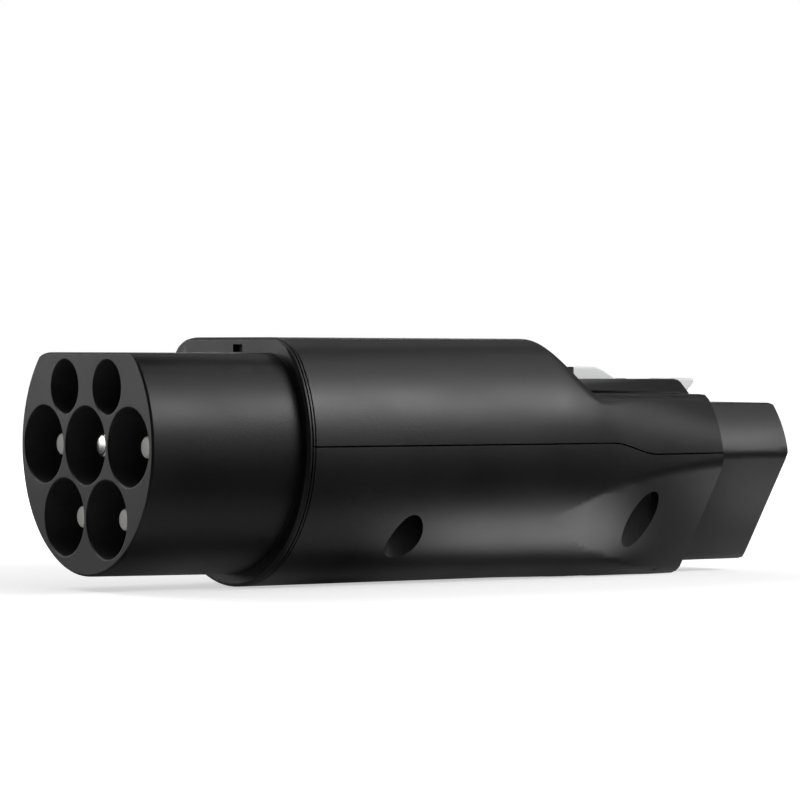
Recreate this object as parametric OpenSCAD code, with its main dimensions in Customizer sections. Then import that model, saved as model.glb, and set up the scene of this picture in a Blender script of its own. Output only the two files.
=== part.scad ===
// Charging adapter for electric cars.
// The front end is a round block with seven recessed pins, the inlet that a
// charging cable's plug goes over. The rear end is a shield-shaped nose with
// five sockets, which goes into the car. A two-part shell joins them and
// narrows towards the nose, and a sprung latch lever lies on top of its rear.
//
// The shapes are drawn along X from the front face, with the axis of the round
// block at Y = 0, Z = 0. placed() then moves them all, so that the finished
// part stands on Z = 0 with the middle of its box over the origin.

/* [Front block] */
// Radius of the round block at its front face
block_r = 28; // [27:0.1:28.4]
// How much that radius grows by the flange
block_draft = 0.45; // [0:0.05:0.6]
// Height of the flat on top of the block above the axis
block_flat = 20; // [19.4:0.1:20.3]
// Radius that blends the flat into the round
block_corner = 10; // [6:0.5:12]
// Distance from the front face to the flange
block_len = 36.6; // [34:0.1:60]
// Bevel round the front face
block_bevel = 0.4; // [0.1:0.1:0.8]
// Depth of the recesses from the front face
recess_depth = 31; // [24:0.5:32]
// Bevel at the mouth of each recess
mouth_bevel = 0.3; // [0.1:0.05:0.5]

/* [Pin layout] */
// Distance between neighbouring power pins
pin_pitch = 18; // [17.6:0.1:18.4]
// Height of the two signal pins above the axis
signal_z = 12.55; // [12:0.05:13]
// Radius of a power recess
power_recess_r = 8.3; // [7.8:0.1:8.5]
// Radius of a signal recess
signal_recess_r = 5.7; // [5:0.1:5.8]

/* [Pins] */
// Radius of the power pins and of the earth pin
pin_r = 3; // [2.6:0.1:3.2]
// Radius of the signal pins
signal_pin_r = 1.5; // [1.2:0.1:1.7]
// Depth of the capped tips behind the front face
cap_tip = 4.3; // [4.2:0.1:6]
// Depth of the earth pin's bare tip
earth_tip = 3.9; // [3.4:0.1:5]
// Depth of the signal pins' tips
signal_tip = 9; // [7:0.5:14]
// Radius of the plastic tip cap
cap_r = 2.375; // [2.2:0.025:2.5]
// Length of the plastic tip cap
cap_len = 2.7; // [2.2:0.1:3.5]
// Radius of the spigot that carries the cap
spigot_r = 1.6; // [1.2:0.1:1.8]
// Radius of a power pin's collar at the back of the block
collar_r = 4.6; // [4.2:0.1:5]
// Radius of a signal pin's collar
signal_collar_r = 2.8; // [2.4:0.1:3.2]
// Length of a pin's barrel behind the block, where its wire goes in
barrel_len = 10; // [8:0.5:12]
// Radius of a power barrel
barrel_r = 3.6; // [3.4:0.1:4]
// Radius of a signal barrel
signal_barrel_r = 2; // [1.8:0.1:2.2]

/* [Flange] */
// Thickness of the flange disc
flange_t = 1.05; // [0.9:0.05:2]
// Bevel on the flange's front edge
flange_bevel = 0.6; // [0.2:0.1:0.8]
// Thickness of the gasket behind the flange
gasket_t = 0.3; // [0.2:0.05:0.8]
// How far the gasket stays inside the rim
gasket_inset = 0.5; // [0.3:0.1:1]
// Width of the small slot in the flange
slot_w = 3.7; // [2:0.1:4]
// Height of that slot
slot_h = 1.6; // [1:0.1:2]
// How far the slot's middle lies to the side
slot_side = 2.85; // [0:0.05:6]

/* [Shell] */
// Outer radius of the round part of the shell
shell_r = 31.26; // [31:0.02:33]
// Height of the flat on top of the shell above the axis
shell_flat = 23.4; // [23.2:0.1:24]
// Radius that blends the flat into the round
shell_corner = 13.2; // [8:0.2:14]
// Wall thickness of the shell
wall = 2.6; // [2:0.1:2.8]
// Length of the shell from its front edge to its end
shell_len = 117; // [112:1:130]
// Thickness of the shell's front wall
front_wall = 3.35; // [2.5:0.05:4]
// Depth of the fine groove behind the shell's front edge
groove_depth = 0.3; // [0.1:0.05:0.4]
// Width of the bead in front of that groove
bead_w = 0.4; // [0.3:0.05:0.8]

/* [Shoulder] */
// Distance from the shell's end back to where the shoulder begins to fall
shoulder_start = 50.5; // [48:0.5:52]
// Length over which the shoulder falls
shoulder_len = 13.5; // [13:0.5:18]
// Distance from the shell's end back to where its sides begin to narrow
taper_start = 51; // [48:1:60]

/* [Rear end of the shell] */
// Height of the rear end's top above the axis
rear_top = 10.8; // [10.6:0.1:11.5]
// Radius of the rear end's upper sides
rear_r = 26.1; // [25.9:0.1:27.5]
// Height of the centre of that radius
rear_centre = -6.84; // [-7.2:0.02:-6.4]
// Distance of the sloping lower sides from the axis
rear_side = 24.5; // [24.3:0.1:26]
// Depth of the flat under the rear end below the axis
rear_bottom = 31.26; // [30.9:0.02:31.26]
// Edge radius along the rear top
rear_top_edge = 3; // [2:0.25:4]
// Edge radius at the widest line
rear_side_edge = 5; // [4:0.25:8]
// Edge radius along the bottom
rear_bottom_edge = 5; // [4:0.25:7]
// Angle of the lower sides from the vertical
side_angle = 33.4; // [32.6:0.1:34]
// Bevel round the shell's end
end_bevel = 0.5; // [0.2:0.1:0.7]

/* [Nose] */
// How far the nose stands out of the shell
nose_out = 20.8; // [16:0.1:26]
// Height of the nose's top above the axis
nose_top = 8.7; // [8:0.05:8.8]
// Radius of the nose's upper sides
nose_r = 24.6; // [24:0.1:24.8]
// Height of the centre of that radius
nose_centre = -7.75; // [-7.9:0.05:-7.2]
// Distance of the nose's lower sides from the axis
nose_side = 21.9; // [21:0.1:22.1]
// Depth of the nose's bottom below the axis
nose_bottom = 28.4; // [28:0.1:28.6]
// Edge radius along the nose's top
nose_top_edge = 1.2; // [1:0.1:2]
// Edge radius at the nose's widest line
nose_side_edge = 2.2; // [1.6:0.1:4]
// Edge radius along the nose's bottom
nose_bottom_edge = 2.4; // [1.6:0.1:4]
// Bevel round the nose's end face
nose_bevel = 0.5; // [0.2:0.1:1]
// How far the nose's inner flange stands out from its sides
nose_flange = 0.9; // [0.5:0.1:0.9]
// How far the seal stands out past the shell's end
seal_lip = 0.6; // [0.3:0.1:1.2]
// Thickness of the seal round the nose
seal_t = 0.4; // [0.3:0.05:0.45]

/* [Sockets] */
// Distance of each power socket from the middle plane
power_y = 12; // [11.5:0.1:13]
// Height of the power sockets
power_z = -3; // [-3.5:0.1:-2]
// Height of the earth socket
earth_z = -20.5; // [-21:0.1:-20]
// Distance of each signal socket from the middle plane
signal_socket_y = 10.2; // [9.8:0.1:10.6]
// Height of the signal sockets
signal_socket_z = -14.5; // [-15:0.1:-14]
// Bore radius of a power socket
power_bore_r = 4; // [3.5:0.1:4.2]
// Bore radius of the earth socket
earth_bore_r = 3; // [2.5:0.1:3.2]
// Bore radius of a signal socket
signal_bore_r = 1.5; // [1.2:0.1:1.7]
// Wall thickness of a power socket and of the earth socket
socket_wall = 1.5; // [1:0.1:1.7]
// Wall thickness of a signal socket
signal_socket_wall = 1.1; // [0.8:0.1:1.3]
// Depth of the bores from the sockets' front ends
socket_depth = 20; // [14:0.5:21]
// Depth of the power and earth sockets behind the nose's end face
socket_set_back = 2.2; // [1.5:0.1:4]
// Depth of the signal sockets behind the nose's end face
signal_set_back = 4; // [3:0.1:6]
// Width of the slits that let a socket spring open
slit_w = 0.5; // [0.3:0.05:0.55]

/* [Screws] */
// Radius of the screw wells in the lower shell
well_r = 4.2; // [3.9:0.1:4.4]
// Wall thickness round a screw well
well_wall = 1.4; // [1:0.1:1.6]
// Distance of the front screws from the shell's front edge
front_screw_x = 28.85; // [24:0.05:40]
// Distance of the front screws from the middle plane
front_screw_y = 23.1; // [22.6:0.1:23.5]
// Distance of the rear screws from the shell's end
rear_screw_x = 21.4; // [20.5:0.1:24]
// Distance of the rear screws from the middle plane
rear_screw_y = 21.5; // [21:0.1:22]
// Radius of the shell screws' shanks
screw_r = 1.5; // [1.2:0.1:1.6]
// Radius of the shell screws' heads
screw_head_r = 3.4; // [3:0.1:3.6]
// Length of the shell screws under the head
screw_len = 16; // [14:0.5:17]
// Depth below the parting line at which the heads seat
screw_seat = 5; // [4:0.5:6]

/* [Latch] */
// Width of the latch lever
latch_w = 10; // [8:0.5:11]
// Side clearance between the lever and its channel
latch_gap = 0.4; // [0.2:0.05:0.6]
// Height of the thumb pad's top above the axis
pad_top = 17.05; // [16.6:0.05:17.4]
// Distance of the thumb pad's front from the pivot
pad_reach = 13.2; // [12.5:0.1:14]
// Length of the thumb pad's level top
pad_len = 6.2; // [5:0.1:8]
// Height of the top of the hook
hook_top = 14.4; // [14.2:0.1:14.8]
// How far the hook reaches past the shell's end
hook_reach = 7.35; // [6:0.05:9]
// Lowest height of the hook's tooth
tooth_low = 9.4; // [9.2:0.1:10]
// Width of the raised platform beside the lever
platform_w = 26; // [24:0.5:28]
// Height of the platform's top
platform_top = 14.3; // [14.2:0.05:14.6]
// Radius of the fillet along the foot of the platform
platform_fillet = 0.5; // [0.2:0.1:0.8]
// Radius of the pivot pin
pivot_r = 1.5; // [1.2:0.1:1.6]
// Distance of the pivot from the shell's end
pivot_back = 15.45; // [15:0.05:16.5]
// Height of the pivot above the axis
pivot_z = 11.2; // [11:0.1:11.4]
// How far the pivot pin reaches into each side of the channel
pivot_grip = 2.5; // [1.5:0.1:4]

/* [Wires] */
// Radius of a power wire with its sleeve
wire_r = 2.6; // [2.2:0.1:2.8]
// Radius of a signal wire with its sleeve
signal_wire_r = 1.2; // [1:0.1:1.4]
// Radius of a power wire's bare end
core_r = 2.1; // [1.6:0.1:2.2]
// Radius of a signal wire's bare end
signal_core_r = 0.9; // [0.6:0.1:1]

/* [Fits] */
// Gap round a piece that is pushed into a bore
fit = 0.05; // [0.03:0.01:0.08]
// Gap round a piece that drops into place
loose = 0.15; // [0.1:0.05:0.2]

/* [Hidden] */

$fn = 72;
far = 200;

// Places along X, from the front face of the block
flange_back = block_len + flange_t;
shell_x = flange_back + gasket_t;
shell_end = shell_x + shell_len;
nose_end = shell_end + nose_out;
front_wall_back = shell_x + front_wall;
inner_collar_t = 3;
block_back = front_wall_back + inner_collar_t;
collar_t = 5;
collar_seat = block_back - collar_t;
carrier_t = 3.5;
barrel_end = block_back + barrel_len;
barrel_depth = barrel_len - 2;

// Rear structure, from the shell's end forwards
end_wall = 3;
nose_groove = 3.95;
nose_rib = 2.8;
groove_end = shell_end - end_wall;
groove_start = groove_end - nose_groove;
rib_start = groove_start - nose_rib;
nose_back = rib_start + 0.8;
socket_collar_t = 2;
nose_carrier_t = 2.8;
nose_carrier_inset = 3.2;
nose_carrier_x = nose_back - socket_collar_t - nose_carrier_t;
socket_barrel_len = 13;
socket_barrel_start = nose_carrier_x - socket_barrel_len;

// The block's neck and its inner collar, which the shell's front wall grips
cavity_r = shell_r - wall;
neck_collar_inset = 0.4;
neck_inset = 1.7;

// Pin places in the block, as [y, z]
power_low = pin_pitch * sin(60);
pos_pe = [0, 0];
pos_n = [pin_pitch, 0];
pos_l1 = [-pin_pitch, 0];
pos_l2 = [-pin_pitch / 2, -power_low];
pos_l3 = [pin_pitch / 2, -power_low];
pos_cp = [pin_pitch / 2, signal_z];
pos_pp = [-pin_pitch / 2, signal_z];
power_places = [pos_pe, pos_n, pos_l1, pos_l2, pos_l3];
signal_places = [pos_cp, pos_pp];

// Socket places in the nose, as [y, z]
nose_l = [-power_y, power_z];
nose_n = [power_y, power_z];
nose_pe = [0, earth_z];
nose_cp = [signal_socket_y, signal_socket_z];
nose_pp = [-signal_socket_y, signal_socket_z];

// Small fastener sizes
small_screw_r = 1.15;
small_head_r = 2.4;
small_head_t = 1.6;
small_screw_grip = 6;
carrier_edge = 2.5;
carrier_screw_inset = carrier_edge + small_head_r + 0.3;
carrier_screw_places = [
    for (a = [-34, -146]) (cavity_r - carrier_screw_inset) * [cos(a), sin(a)],
    [0, shell_flat - wall - carrier_screw_inset - 1]
];
nose_screw_places = [[0, 2.5], [0, -11.5]];

// Screw places in the shell, as [x, y, height of the parting line there]
parting_front = 0;
parting_rear = -2.7;
parting_step_x = shell_end - 35.8;
parting_step_len = 14;
front_x = shell_x + front_screw_x;
rear_x = shell_end - rear_screw_x;
screw_places = [
    for (s = [-1, 1]) [front_x, s * front_screw_y, parting_front],
    for (s = [-1, 1]) [rear_x, s * rear_screw_y, parting_rear]
];
screw_head_t = 2.4;
screw_boss_r = screw_r + 1.9;
well_floor = 2;

// Latch places
pivot_x = shell_end - pivot_back;
pivot_boss_r = pivot_r + 1.2;
pad_front = pivot_x - pad_reach;
hood_edge = pad_front - 0.5;
hook_tip = shell_end + hook_reach;
channel_floor = pivot_z - 3.5;
channel_front = hood_edge - 1.2;
channel_step = pivot_x + pivot_boss_r + 0.3;
rear_floor = rear_top + 0.2;
channel_w = latch_w + 2 * latch_gap;
tub_wall = 2;
pad_under = pad_top - 4.75;
spring_x = pad_front + 2.9;
spring_cup = 1;

// Radial section of the body: see section_r()
pole_z = -6;
around = 96;

function smooth(u) = let (v = min(max(u, 0), 1)) v * v * (3 - 2 * v);
function mix(a, b, s) = a + (b - a) * s;
function norm2(p) = sqrt(p * p);

// A section is convex and symmetric: a circle on the middle plane, cut by a
// level top, by a sloping side on each flank and by a level bottom. Its values
// are [radius, centre height, top, side distance, bottom depth,
// top edge radius, side edge radius, bottom edge radius].
function inset(s, d) = [
    s[0] - d, s[1], s[2] - d, s[3] - d, s[4] - d,
    max(s[5] - d, 0.3), max(s[6] - d, 0.3), max(s[7] - d, 0.3)
];

round_section = [
    shell_r, 0, shell_flat, shell_r, shell_r,
    shell_corner, rear_side_edge, rear_bottom_edge
];
rear_section = [
    rear_r, rear_centre, rear_top, rear_side, rear_bottom,
    rear_top_edge, rear_side_edge, rear_bottom_edge
];
nose_section = [
    nose_r, nose_centre, nose_top, nose_side, nose_bottom,
    nose_top_edge, nose_side_edge, nose_bottom_edge
];

// Distance from the pole to a circle or to a straight side, along u
function ray_circle(u, c, r) =
    let (b = u * c) b + sqrt(max(b * b - c * c + r * r, 0));
function ray_line(u, n, d) = n * u > 0.001 ? d / (n * u) : far;
function heading(p) = atan2(p[1], p[0]);

// Radius of a section from the pole in direction a, with its edges rounded
function section_r(s, a) =
    let (
        u = [abs(cos(a)), sin(a)],
        dir = heading(u),
        c = [0, s[1] - pole_z],
        top = s[2] - pole_z,
        low = s[4] + pole_z,
        n = [cos(side_angle), -sin(side_angle)],
        m = [sin(side_angle), cos(side_angle)],
        d = s[3] + sin(side_angle) * pole_z,
        t_circle = ray_circle(u, c, s[0]),
        t_all = min(
            t_circle, ray_line(u, [0, 1], top),
            ray_line(u, [0, -1], low), ray_line(u, n, d)
        ),
        c1z = top - s[5],
        c1 = [sqrt(max(pow(s[0] - s[5], 2) - pow(c1z - c[1], 2), 0)), c1z],
        on_top = heading([c1[0], top]),
        on_round = heading(c + (c1 - c) * s[0] / (s[0] - s[5])),
        q = n * (d - s[6]) - c,
        k = m * q,
        c2 = q + c + m * (sqrt(max(k * k - q * q + pow(s[0] - s[6], 2), 0)) - k),
        on_round2 = heading(c + (c2 - c) * s[0] / (s[0] - s[6])),
        on_side = heading(c2 + n * s[6]),
        c3z = -(low - s[7]),
        c3 = [(d - s[7] + n[1] * -c3z) / n[0], c3z],
        on_side3 = heading(c3 + n * s[7]),
        on_low = heading([c3[0], -low])
    )
    dir > on_round && dir < on_top ? ray_circle(u, c1, s[5]) :
    dir > on_side && dir < on_round2 ? ray_circle(u, c2, s[6]) :
    dir > on_low && dir < on_side3 ? min(t_circle, ray_circle(u, c3, s[7])) :
    t_all;

function ring(x, s, count) = [
    for (i = [0 : count - 1])
        let (a = 360 * i / count, r = section_r(s, a))
        [x, r * cos(a), pole_z + r * sin(a)]
];

// The body's section at x: round at the front, shield-shaped at the end
function taper(x) =
    let (u = (x - (shell_end - taper_start)) / taper_start, e = 0.25)
    u <= 0 ? 0 : u < e ? u * u / (2 * e * (1 - e / 2)) : (u - e / 2) / (1 - e / 2);
function fall(x) = smooth((x - (shell_end - shoulder_start)) / shoulder_len);
function body_section(x) =
    let (t = taper(x), f = fall(x)) [
        mix(round_section[0], rear_section[0], t),
        mix(round_section[1], rear_section[1], t),
        mix(round_section[2], rear_section[2], f),
        mix(round_section[3], rear_section[3], t),
        mix(round_section[4], rear_section[4], t),
        mix(round_section[5], rear_section[5], max(f, t)),
        mix(round_section[6], rear_section[6], t),
        mix(round_section[7], rear_section[7], t)
    ];

// Skin through a list of rings that all have the same number of points
module loft(rings) {
    n = len(rings[0]);
    last = len(rings) - 1;
    polyhedron(
        points = [for (r = rings) each r],
        faces = [
            [for (j = [0 : n - 1]) j],
            [for (j = [n - 1 : -1 : 0]) last * n + j],
            for (i = [0 : last - 1], j = [0 : n - 1])
                let (a = i * n + j, b = i * n + (j + 1) % n)
                each [[a, a + n, b + n], [a, b + n, b]]
        ]
    );
}

module shield(x0, x1, s, d)
    on_axis(x0) linear_extrude(x1 - x0) polygon([
        for (p = ring(0, inset(s, d), around)) [p[1], p[2]]
    ]);

module placed() translate([-nose_end / 2, 0, shell_r]) children();
module on_axis(x) translate([x, 0, 0]) rotate([90, 0, 90]) children();
module bar(x0, x1, place, r)
    translate([x0, place[0], place[1]]) rotate([0, 90, 0]) cylinder(r = r, h = x1 - x0);
module turned(place, points)
    translate([0, place[0], place[1]]) rotate([0, 90, 0]) rotate_extrude() polygon(points);
module side_plate(w, points)
    translate([0, w / 2, 0]) rotate([90, 0, 0]) linear_extrude(w) polygon(points);
module block(x, y, z) translate([x[0], y[0], z[0]])
    cube([x[1] - x[0], y[1] - y[0], z[1] - z[0]]);

// Round outline with a flat on top and blended corners
module d_outline(r, flat, corner) {
    cz = flat - corner;
    cy = sqrt(pow(r - corner, 2) - cz * cz);
    difference() {
        circle(r);
        polygon([[0, 0], [cy, cz] * 3, [0, far], [-cy, cz] * 3]);
    }
    polygon([[0, 0], [cy, cz], [cy, flat], [-cy, flat], [-cy, cz]]);
    for (s = [-1, 1]) translate([s * cy, cz]) circle(corner);
}
module d_bar(x0, x1, r, flat, corner, d = 0)
    on_axis(x0) linear_extrude(x1 - x0) d_outline(r - d, flat - d, corner - d);

// Front block, with the seven recesses and the flange
module plug_block() color("#1c1c1d") placed() difference() {
    union() {
        intersection() {
            d_bar(0, block_len, block_r + block_draft + 0.1, block_flat, block_corner);
            turned(pos_pe, [
                [0, -1], [block_r - block_bevel - 1, -1], [block_r, block_bevel],
                [block_r + block_draft, block_len + 1], [0, block_len + 1]
            ]);
        }
        intersection() {
            d_bar(block_len, flange_back, shell_r, shell_flat, shell_corner);
            turned(pos_pe, [
                [0, block_len - 1], [shell_r - flange_bevel - 1, block_len - 1],
                [shell_r - flange_bevel + 2, block_len + 2], [0, block_len + 2]
            ]);
        }
        d_bar(flange_back, front_wall_back, cavity_r, shell_flat - wall,
            shell_corner - wall, neck_inset);
        d_bar(front_wall_back, block_back, cavity_r, shell_flat - wall,
            shell_corner - wall, neck_collar_inset);
    }
    top_bevel(0, block_flat, block_bevel);
    top_bevel(block_len, shell_flat, flange_bevel);
    for (p = power_places) pin_seat(p, power_recess_r, pin_r + 0.4, collar_r);
    for (p = signal_places) pin_seat(p, signal_recess_r, signal_pin_r + 0.4, signal_collar_r);
    for (p = carrier_screw_places)
        bar(block_back - small_screw_grip, block_back + 1, p, small_screw_r + fit);
    block([block_len - 1, flange_back + 1], [-slot_side - slot_w / 2, -slot_side + slot_w / 2],
        [block_flat + 0.2, block_flat + 0.2 + slot_h]);
}

// Takes the sharp front edge off a level top
module top_bevel(x, z, b)
    side_plate(far, [[x - 1, z - b - 1], [x - 1, z + 1], [x + b + 1, z + 1]]);

// Recess, shank bore and collar seat for one pin
module pin_seat(p, recess_r, shank_r, seat_r) {
    turned(p, [
        [0, -1], [recess_r + mouth_bevel + 1, -1], [recess_r, mouth_bevel],
        [recess_r, recess_depth], [0, recess_depth]
    ]);
    bar(recess_depth - 1, collar_seat + 1, p, shank_r + fit);
    bar(collar_seat, block_back + 1, p, seat_r + fit);
}

module flange_gasket() color("#0f0f10") placed() difference() {
    d_bar(flange_back, shell_x, shell_r, shell_flat, shell_corner, gasket_inset);
    d_bar(flange_back - 1, shell_x + 1, cavity_r, shell_flat - wall, shell_corner - wall,
        neck_inset - loose);
}

// Metal pins: body, shank, collar and the barrel that takes the wire.
// front holds the outline from the tip to the pin's full radius.
module pin_body(p, r, seat_r, back_r, bore_r, front) color("#c9cacc") placed() difference() {
    turned(p, concat(front, [
        [r, recess_depth], [r + 0.4, recess_depth + 0.4], [r + 0.4, collar_seat],
        [seat_r, collar_seat], [seat_r, block_back], [back_r, block_back],
        [back_r, barrel_end], [0, barrel_end]
    ]));
    bar(barrel_end - barrel_depth, barrel_end + 1, p, bore_r);
}
module capped_pin(p) pin_body(p, pin_r, collar_r, barrel_r, core_r + fit, [
    [0, cap_tip + 0.8], [spigot_r, cap_tip + 0.8], [spigot_r, cap_tip + cap_len],
    [cap_r, cap_tip + cap_len], [pin_r, cap_tip + cap_len + 1]
]);
module domed_pin(p, r, tip, seat_r, back_r, bore_r, dome = 1.3) pin_body(p, r, seat_r, back_r, bore_r,
    [[0, tip], for (i = [0 : 6]) [r - dome * (1 - sin(15 * i)), tip + dome * (1 - cos(15 * i))]]);

module pin_l1() capped_pin(pos_l1);
module pin_l2() capped_pin(pos_l2);
module pin_l3() capped_pin(pos_l3);
module pin_n() capped_pin(pos_n);
module pin_pe() domed_pin(pos_pe, pin_r, earth_tip, collar_r, barrel_r, core_r + fit);
module signal_pin(p) domed_pin(p, signal_pin_r, signal_tip, signal_collar_r,
    signal_barrel_r, signal_core_r + fit, 0.8);
module pin_cp() signal_pin(pos_cp);
module pin_pp() signal_pin(pos_pp);

// Plastic cap that keeps fingers off a live pin's tip
module tip_cap(p) color("#8d8a86") placed() difference() {
    edge = 0.6;
    turned(p, [
        [0, cap_tip],
        for (i = [0 : 5])
            [cap_r - edge * (1 - sin(18 * i)), cap_tip + edge * (1 - cos(18 * i))],
        [cap_r, cap_tip + cap_len], [0, cap_tip + cap_len]
    ]);
    bar(cap_tip + 0.8 - fit, cap_tip + cap_len + 1, p, spigot_r + fit);
}
module tip_cap_l1() tip_cap(pos_l1);
module tip_cap_l2() tip_cap(pos_l2);
module tip_cap_l3() tip_cap(pos_l3);
module tip_cap_n() tip_cap(pos_n);

// Plate behind the block that holds the pins' collars in their seats
module pin_carrier() color("#2b2b2d") placed() difference() {
    d_bar(block_back, block_back + carrier_t, cavity_r, shell_flat - wall,
        shell_corner - wall, carrier_edge);
    for (p = power_places) bar(block_back - 1, block_back + carrier_t + 1, p, barrel_r + loose);
    for (p = signal_places)
        bar(block_back - 1, block_back + carrier_t + 1, p, signal_barrel_r + loose);
    for (p = carrier_screw_places)
        bar(block_back - 1, block_back + carrier_t + 1, p, small_screw_r + loose);
}

// Pan-headed screw that points towards -X, with its head's seat at x
module small_screw(x, p) {
    difference() {
        union() {
            bar(x, x + small_head_t, p, small_head_r);
            bar(x - carrier_t - small_screw_grip + 0.5, x, p, small_screw_r);
        }
        translate([x + small_head_t - 0.9, p[0], p[1]]) rotate([0, 90, 0])
            cylinder(r = 1.2, h = 2, $fn = 6);
    }
}
module pin_carrier_screws() color("#a8a9ab") placed()
    for (p = carrier_screw_places) small_screw(block_back + carrier_t, p);

// Outer form of the closed shell: a straight round part, then the shoulder and
// the narrowing sides
module body_skin() loft([
    ring(shell_x, round_section, around),
    ring(shell_x + bead_w, round_section, around),
    ring(shell_x + bead_w + 0.05, inset(round_section, groove_depth), around),
    ring(shell_x + bead_w + 0.25, inset(round_section, groove_depth), around),
    ring(shell_x + bead_w + 0.3, round_section, around),
    for (x = skin_stations) ring(x, body_section(x), around),
    ring(shell_end, inset(rear_section, end_bevel), around)
]);
shoulder_x = shell_end - shoulder_start;
round_end = min(shell_end - taper_start, shoulder_x) - 0.5;
shoulder_end = shoulder_x + shoulder_len;
skin_stations = [
    round_end,
    for (i = [0 : 10]) mix(shoulder_x, shoulder_end, i / 10),
    for (i = [1 : 5]) mix(shoulder_end, shell_end - end_bevel, i / 5)
];
cavity_stations = [
    for (i = [0 : 6]) mix(shoulder_x, shoulder_end, i / 6),
    mix(shoulder_end, rib_start, 0.5), rib_start
];

// Everything inside the shell that is open
module shell_inside() {
    difference() {
        loft([
            ring(front_wall_back, inset(round_section, wall), around / 2),
            for (x = cavity_stations) ring(x, inset(body_section(x), wall), around / 2)
        ]);
        for (p = screw_places) screw_boss(p);
        block([channel_front - tub_wall, channel_step + tub_wall],
            [-channel_w / 2 - tub_wall, channel_w / 2 + tub_wall],
            [channel_floor - tub_wall, far]);
        for (x = board_post_x)
            translate([x, 0, board_top]) cylinder(r = board_post_r, h = far);
    }
    d_bar(shell_x - 1, front_wall_back + 0.01, cavity_r, shell_flat - wall, shell_corner - wall,
        neck_inset - loose);
    shield(rib_start - 0.01, groove_start + 0.01, nose_section, -loose);
    shield(groove_start, groove_end, nose_section, -nose_flange - loose);
    shield(groove_end - 0.01, shell_end + 1, nose_section, -seal_t - fit);
}

// Column round one shell screw, wider round its well
module screw_boss(p) translate([p[0], p[1], p[2] - screw_seat]) {
    translate([0, 0, -far]) cylinder(r = well_r + well_wall, h = far + well_floor);
    cylinder(r = screw_boss_r, h = far);
}
module screw_hole(p) translate([p[0], p[1], p[2] - screw_seat]) {
    translate([0, 0, -far]) cylinder(r = well_r, h = far);
    translate([0, 0, -1]) cylinder(r = screw_r + fit, h = screw_len + 1.5);
}

// Side view of the parting surface, level at the front and stepped down at the rear
parting_line = [
    [shell_x - 5, parting_front], [parting_step_x, parting_front],
    for (i = [1 : 7])
        [parting_step_x + parting_step_len * i / 8,
            mix(parting_front, parting_rear, smooth(i / 8))],
    [parting_step_x + parting_step_len, parting_rear], [shell_end + 5, parting_rear]
];

// Raised platform, the channel that holds the lever, and the hood over the pad
module latch_bed() {
    x0 = (shoulder_x + shoulder_end) / 2;
    side_plate(platform_w, [
        [x0, rear_top - 1.2], [x0, platform_top], [shell_end - 5, platform_top],
        [shell_end - 4, platform_top - 0.15], [shell_end - 3, platform_top - 0.7],
        [shell_end - end_bevel, rear_top + 0.2], [shell_end - end_bevel, rear_top - 1.2]
    ]);
    side_plate(channel_w + 2, [
        [x0 - 4, rear_top], [x0 - 4, pad_top], [hood_edge, pad_top], [hood_edge, rear_top]
    ]);
    for (s = [0, 1]) mirror([0, s, 0]) on_axis(x0) linear_extrude(shell_end - 3 - x0)
        translate([platform_w / 2, rear_top]) difference() {
            translate([-0.2, -0.2]) square(platform_fillet + 0.2);
            translate([platform_fillet, platform_fillet]) circle(platform_fillet * 1.05);
        }
}
module latch_channel() {
    side_plate(channel_w, [
        [channel_front, channel_floor], [channel_front, pad_top - 0.9],
        [hood_edge, pad_top - 0.9], [hood_edge, far], [far, far], [far, rear_floor],
        [channel_step, rear_floor], [channel_step, channel_floor]
    ]);
    translate([spring_x, 0, channel_floor - spring_cup])
        cylinder(r = spring_coil_r + spring_wire_r + 0.3, h = spring_cup + 1);
    translate([pivot_x, -channel_w / 2 - pivot_grip, pivot_z]) rotate([-90, 0, 0])
        cylinder(r = pivot_r + 0.02, h = channel_w + 2 * pivot_grip);
}

module upper_shell() color("#212122") placed() difference() {
    union() {
        body_skin();
        latch_bed();
    }
    side_plate(far, concat(parting_line, [[shell_end + 5, -far], [shell_x - 5, -far]]));
    shell_inside();
    latch_channel();
    for (p = screw_places) screw_hole(p);
    for (x = board_post_x) translate([x, 0, board_top - 1])
        cylinder(r = board_screw_r + fit, h = 6);
}

module lower_shell() color("#202021") placed() difference() {
    body_skin();
    side_plate(far, concat(parting_line, [[shell_end + 5, far], [shell_x - 5, far]]));
    shell_inside();
    for (p = screw_places) screw_hole(p);
}

module shell_screws() color("#8f9092") placed() for (p = screw_places)
    translate([p[0], p[1], p[2] - screw_seat]) difference() {
        union() {
            cylinder(r = screw_r, h = screw_len);
            translate([0, 0, -screw_head_t]) cylinder(r = screw_head_r, h = screw_head_t);
        }
        translate([0, 0, -screw_head_t - 1]) cylinder(r = 1.6, h = 2.4, $fn = 6);
    }

// Nose: the shield-shaped insulator that goes into the car
module nose_block() color("#19191a") placed() difference() {
    union() {
        loft([
            ring(nose_back, nose_section, around),
            ring(nose_end - nose_bevel, nose_section, around),
            ring(nose_end, inset(nose_section, nose_bevel), around)
        ]);
        shield(groove_start + fit, groove_end - fit, nose_section, -nose_flange);
    }
    for (p = [nose_l, nose_n]) socket_seat(p, power_bore_r, socket_wall, socket_set_back);
    socket_seat(nose_pe, earth_bore_r, socket_wall, socket_set_back);
    for (p = [nose_cp, nose_pp])
        socket_seat(p, signal_bore_r, signal_socket_wall, signal_set_back);
    for (p = nose_screw_places)
        bar(nose_back - 1, nose_back + small_screw_grip, p, small_screw_r + fit);
}

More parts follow.
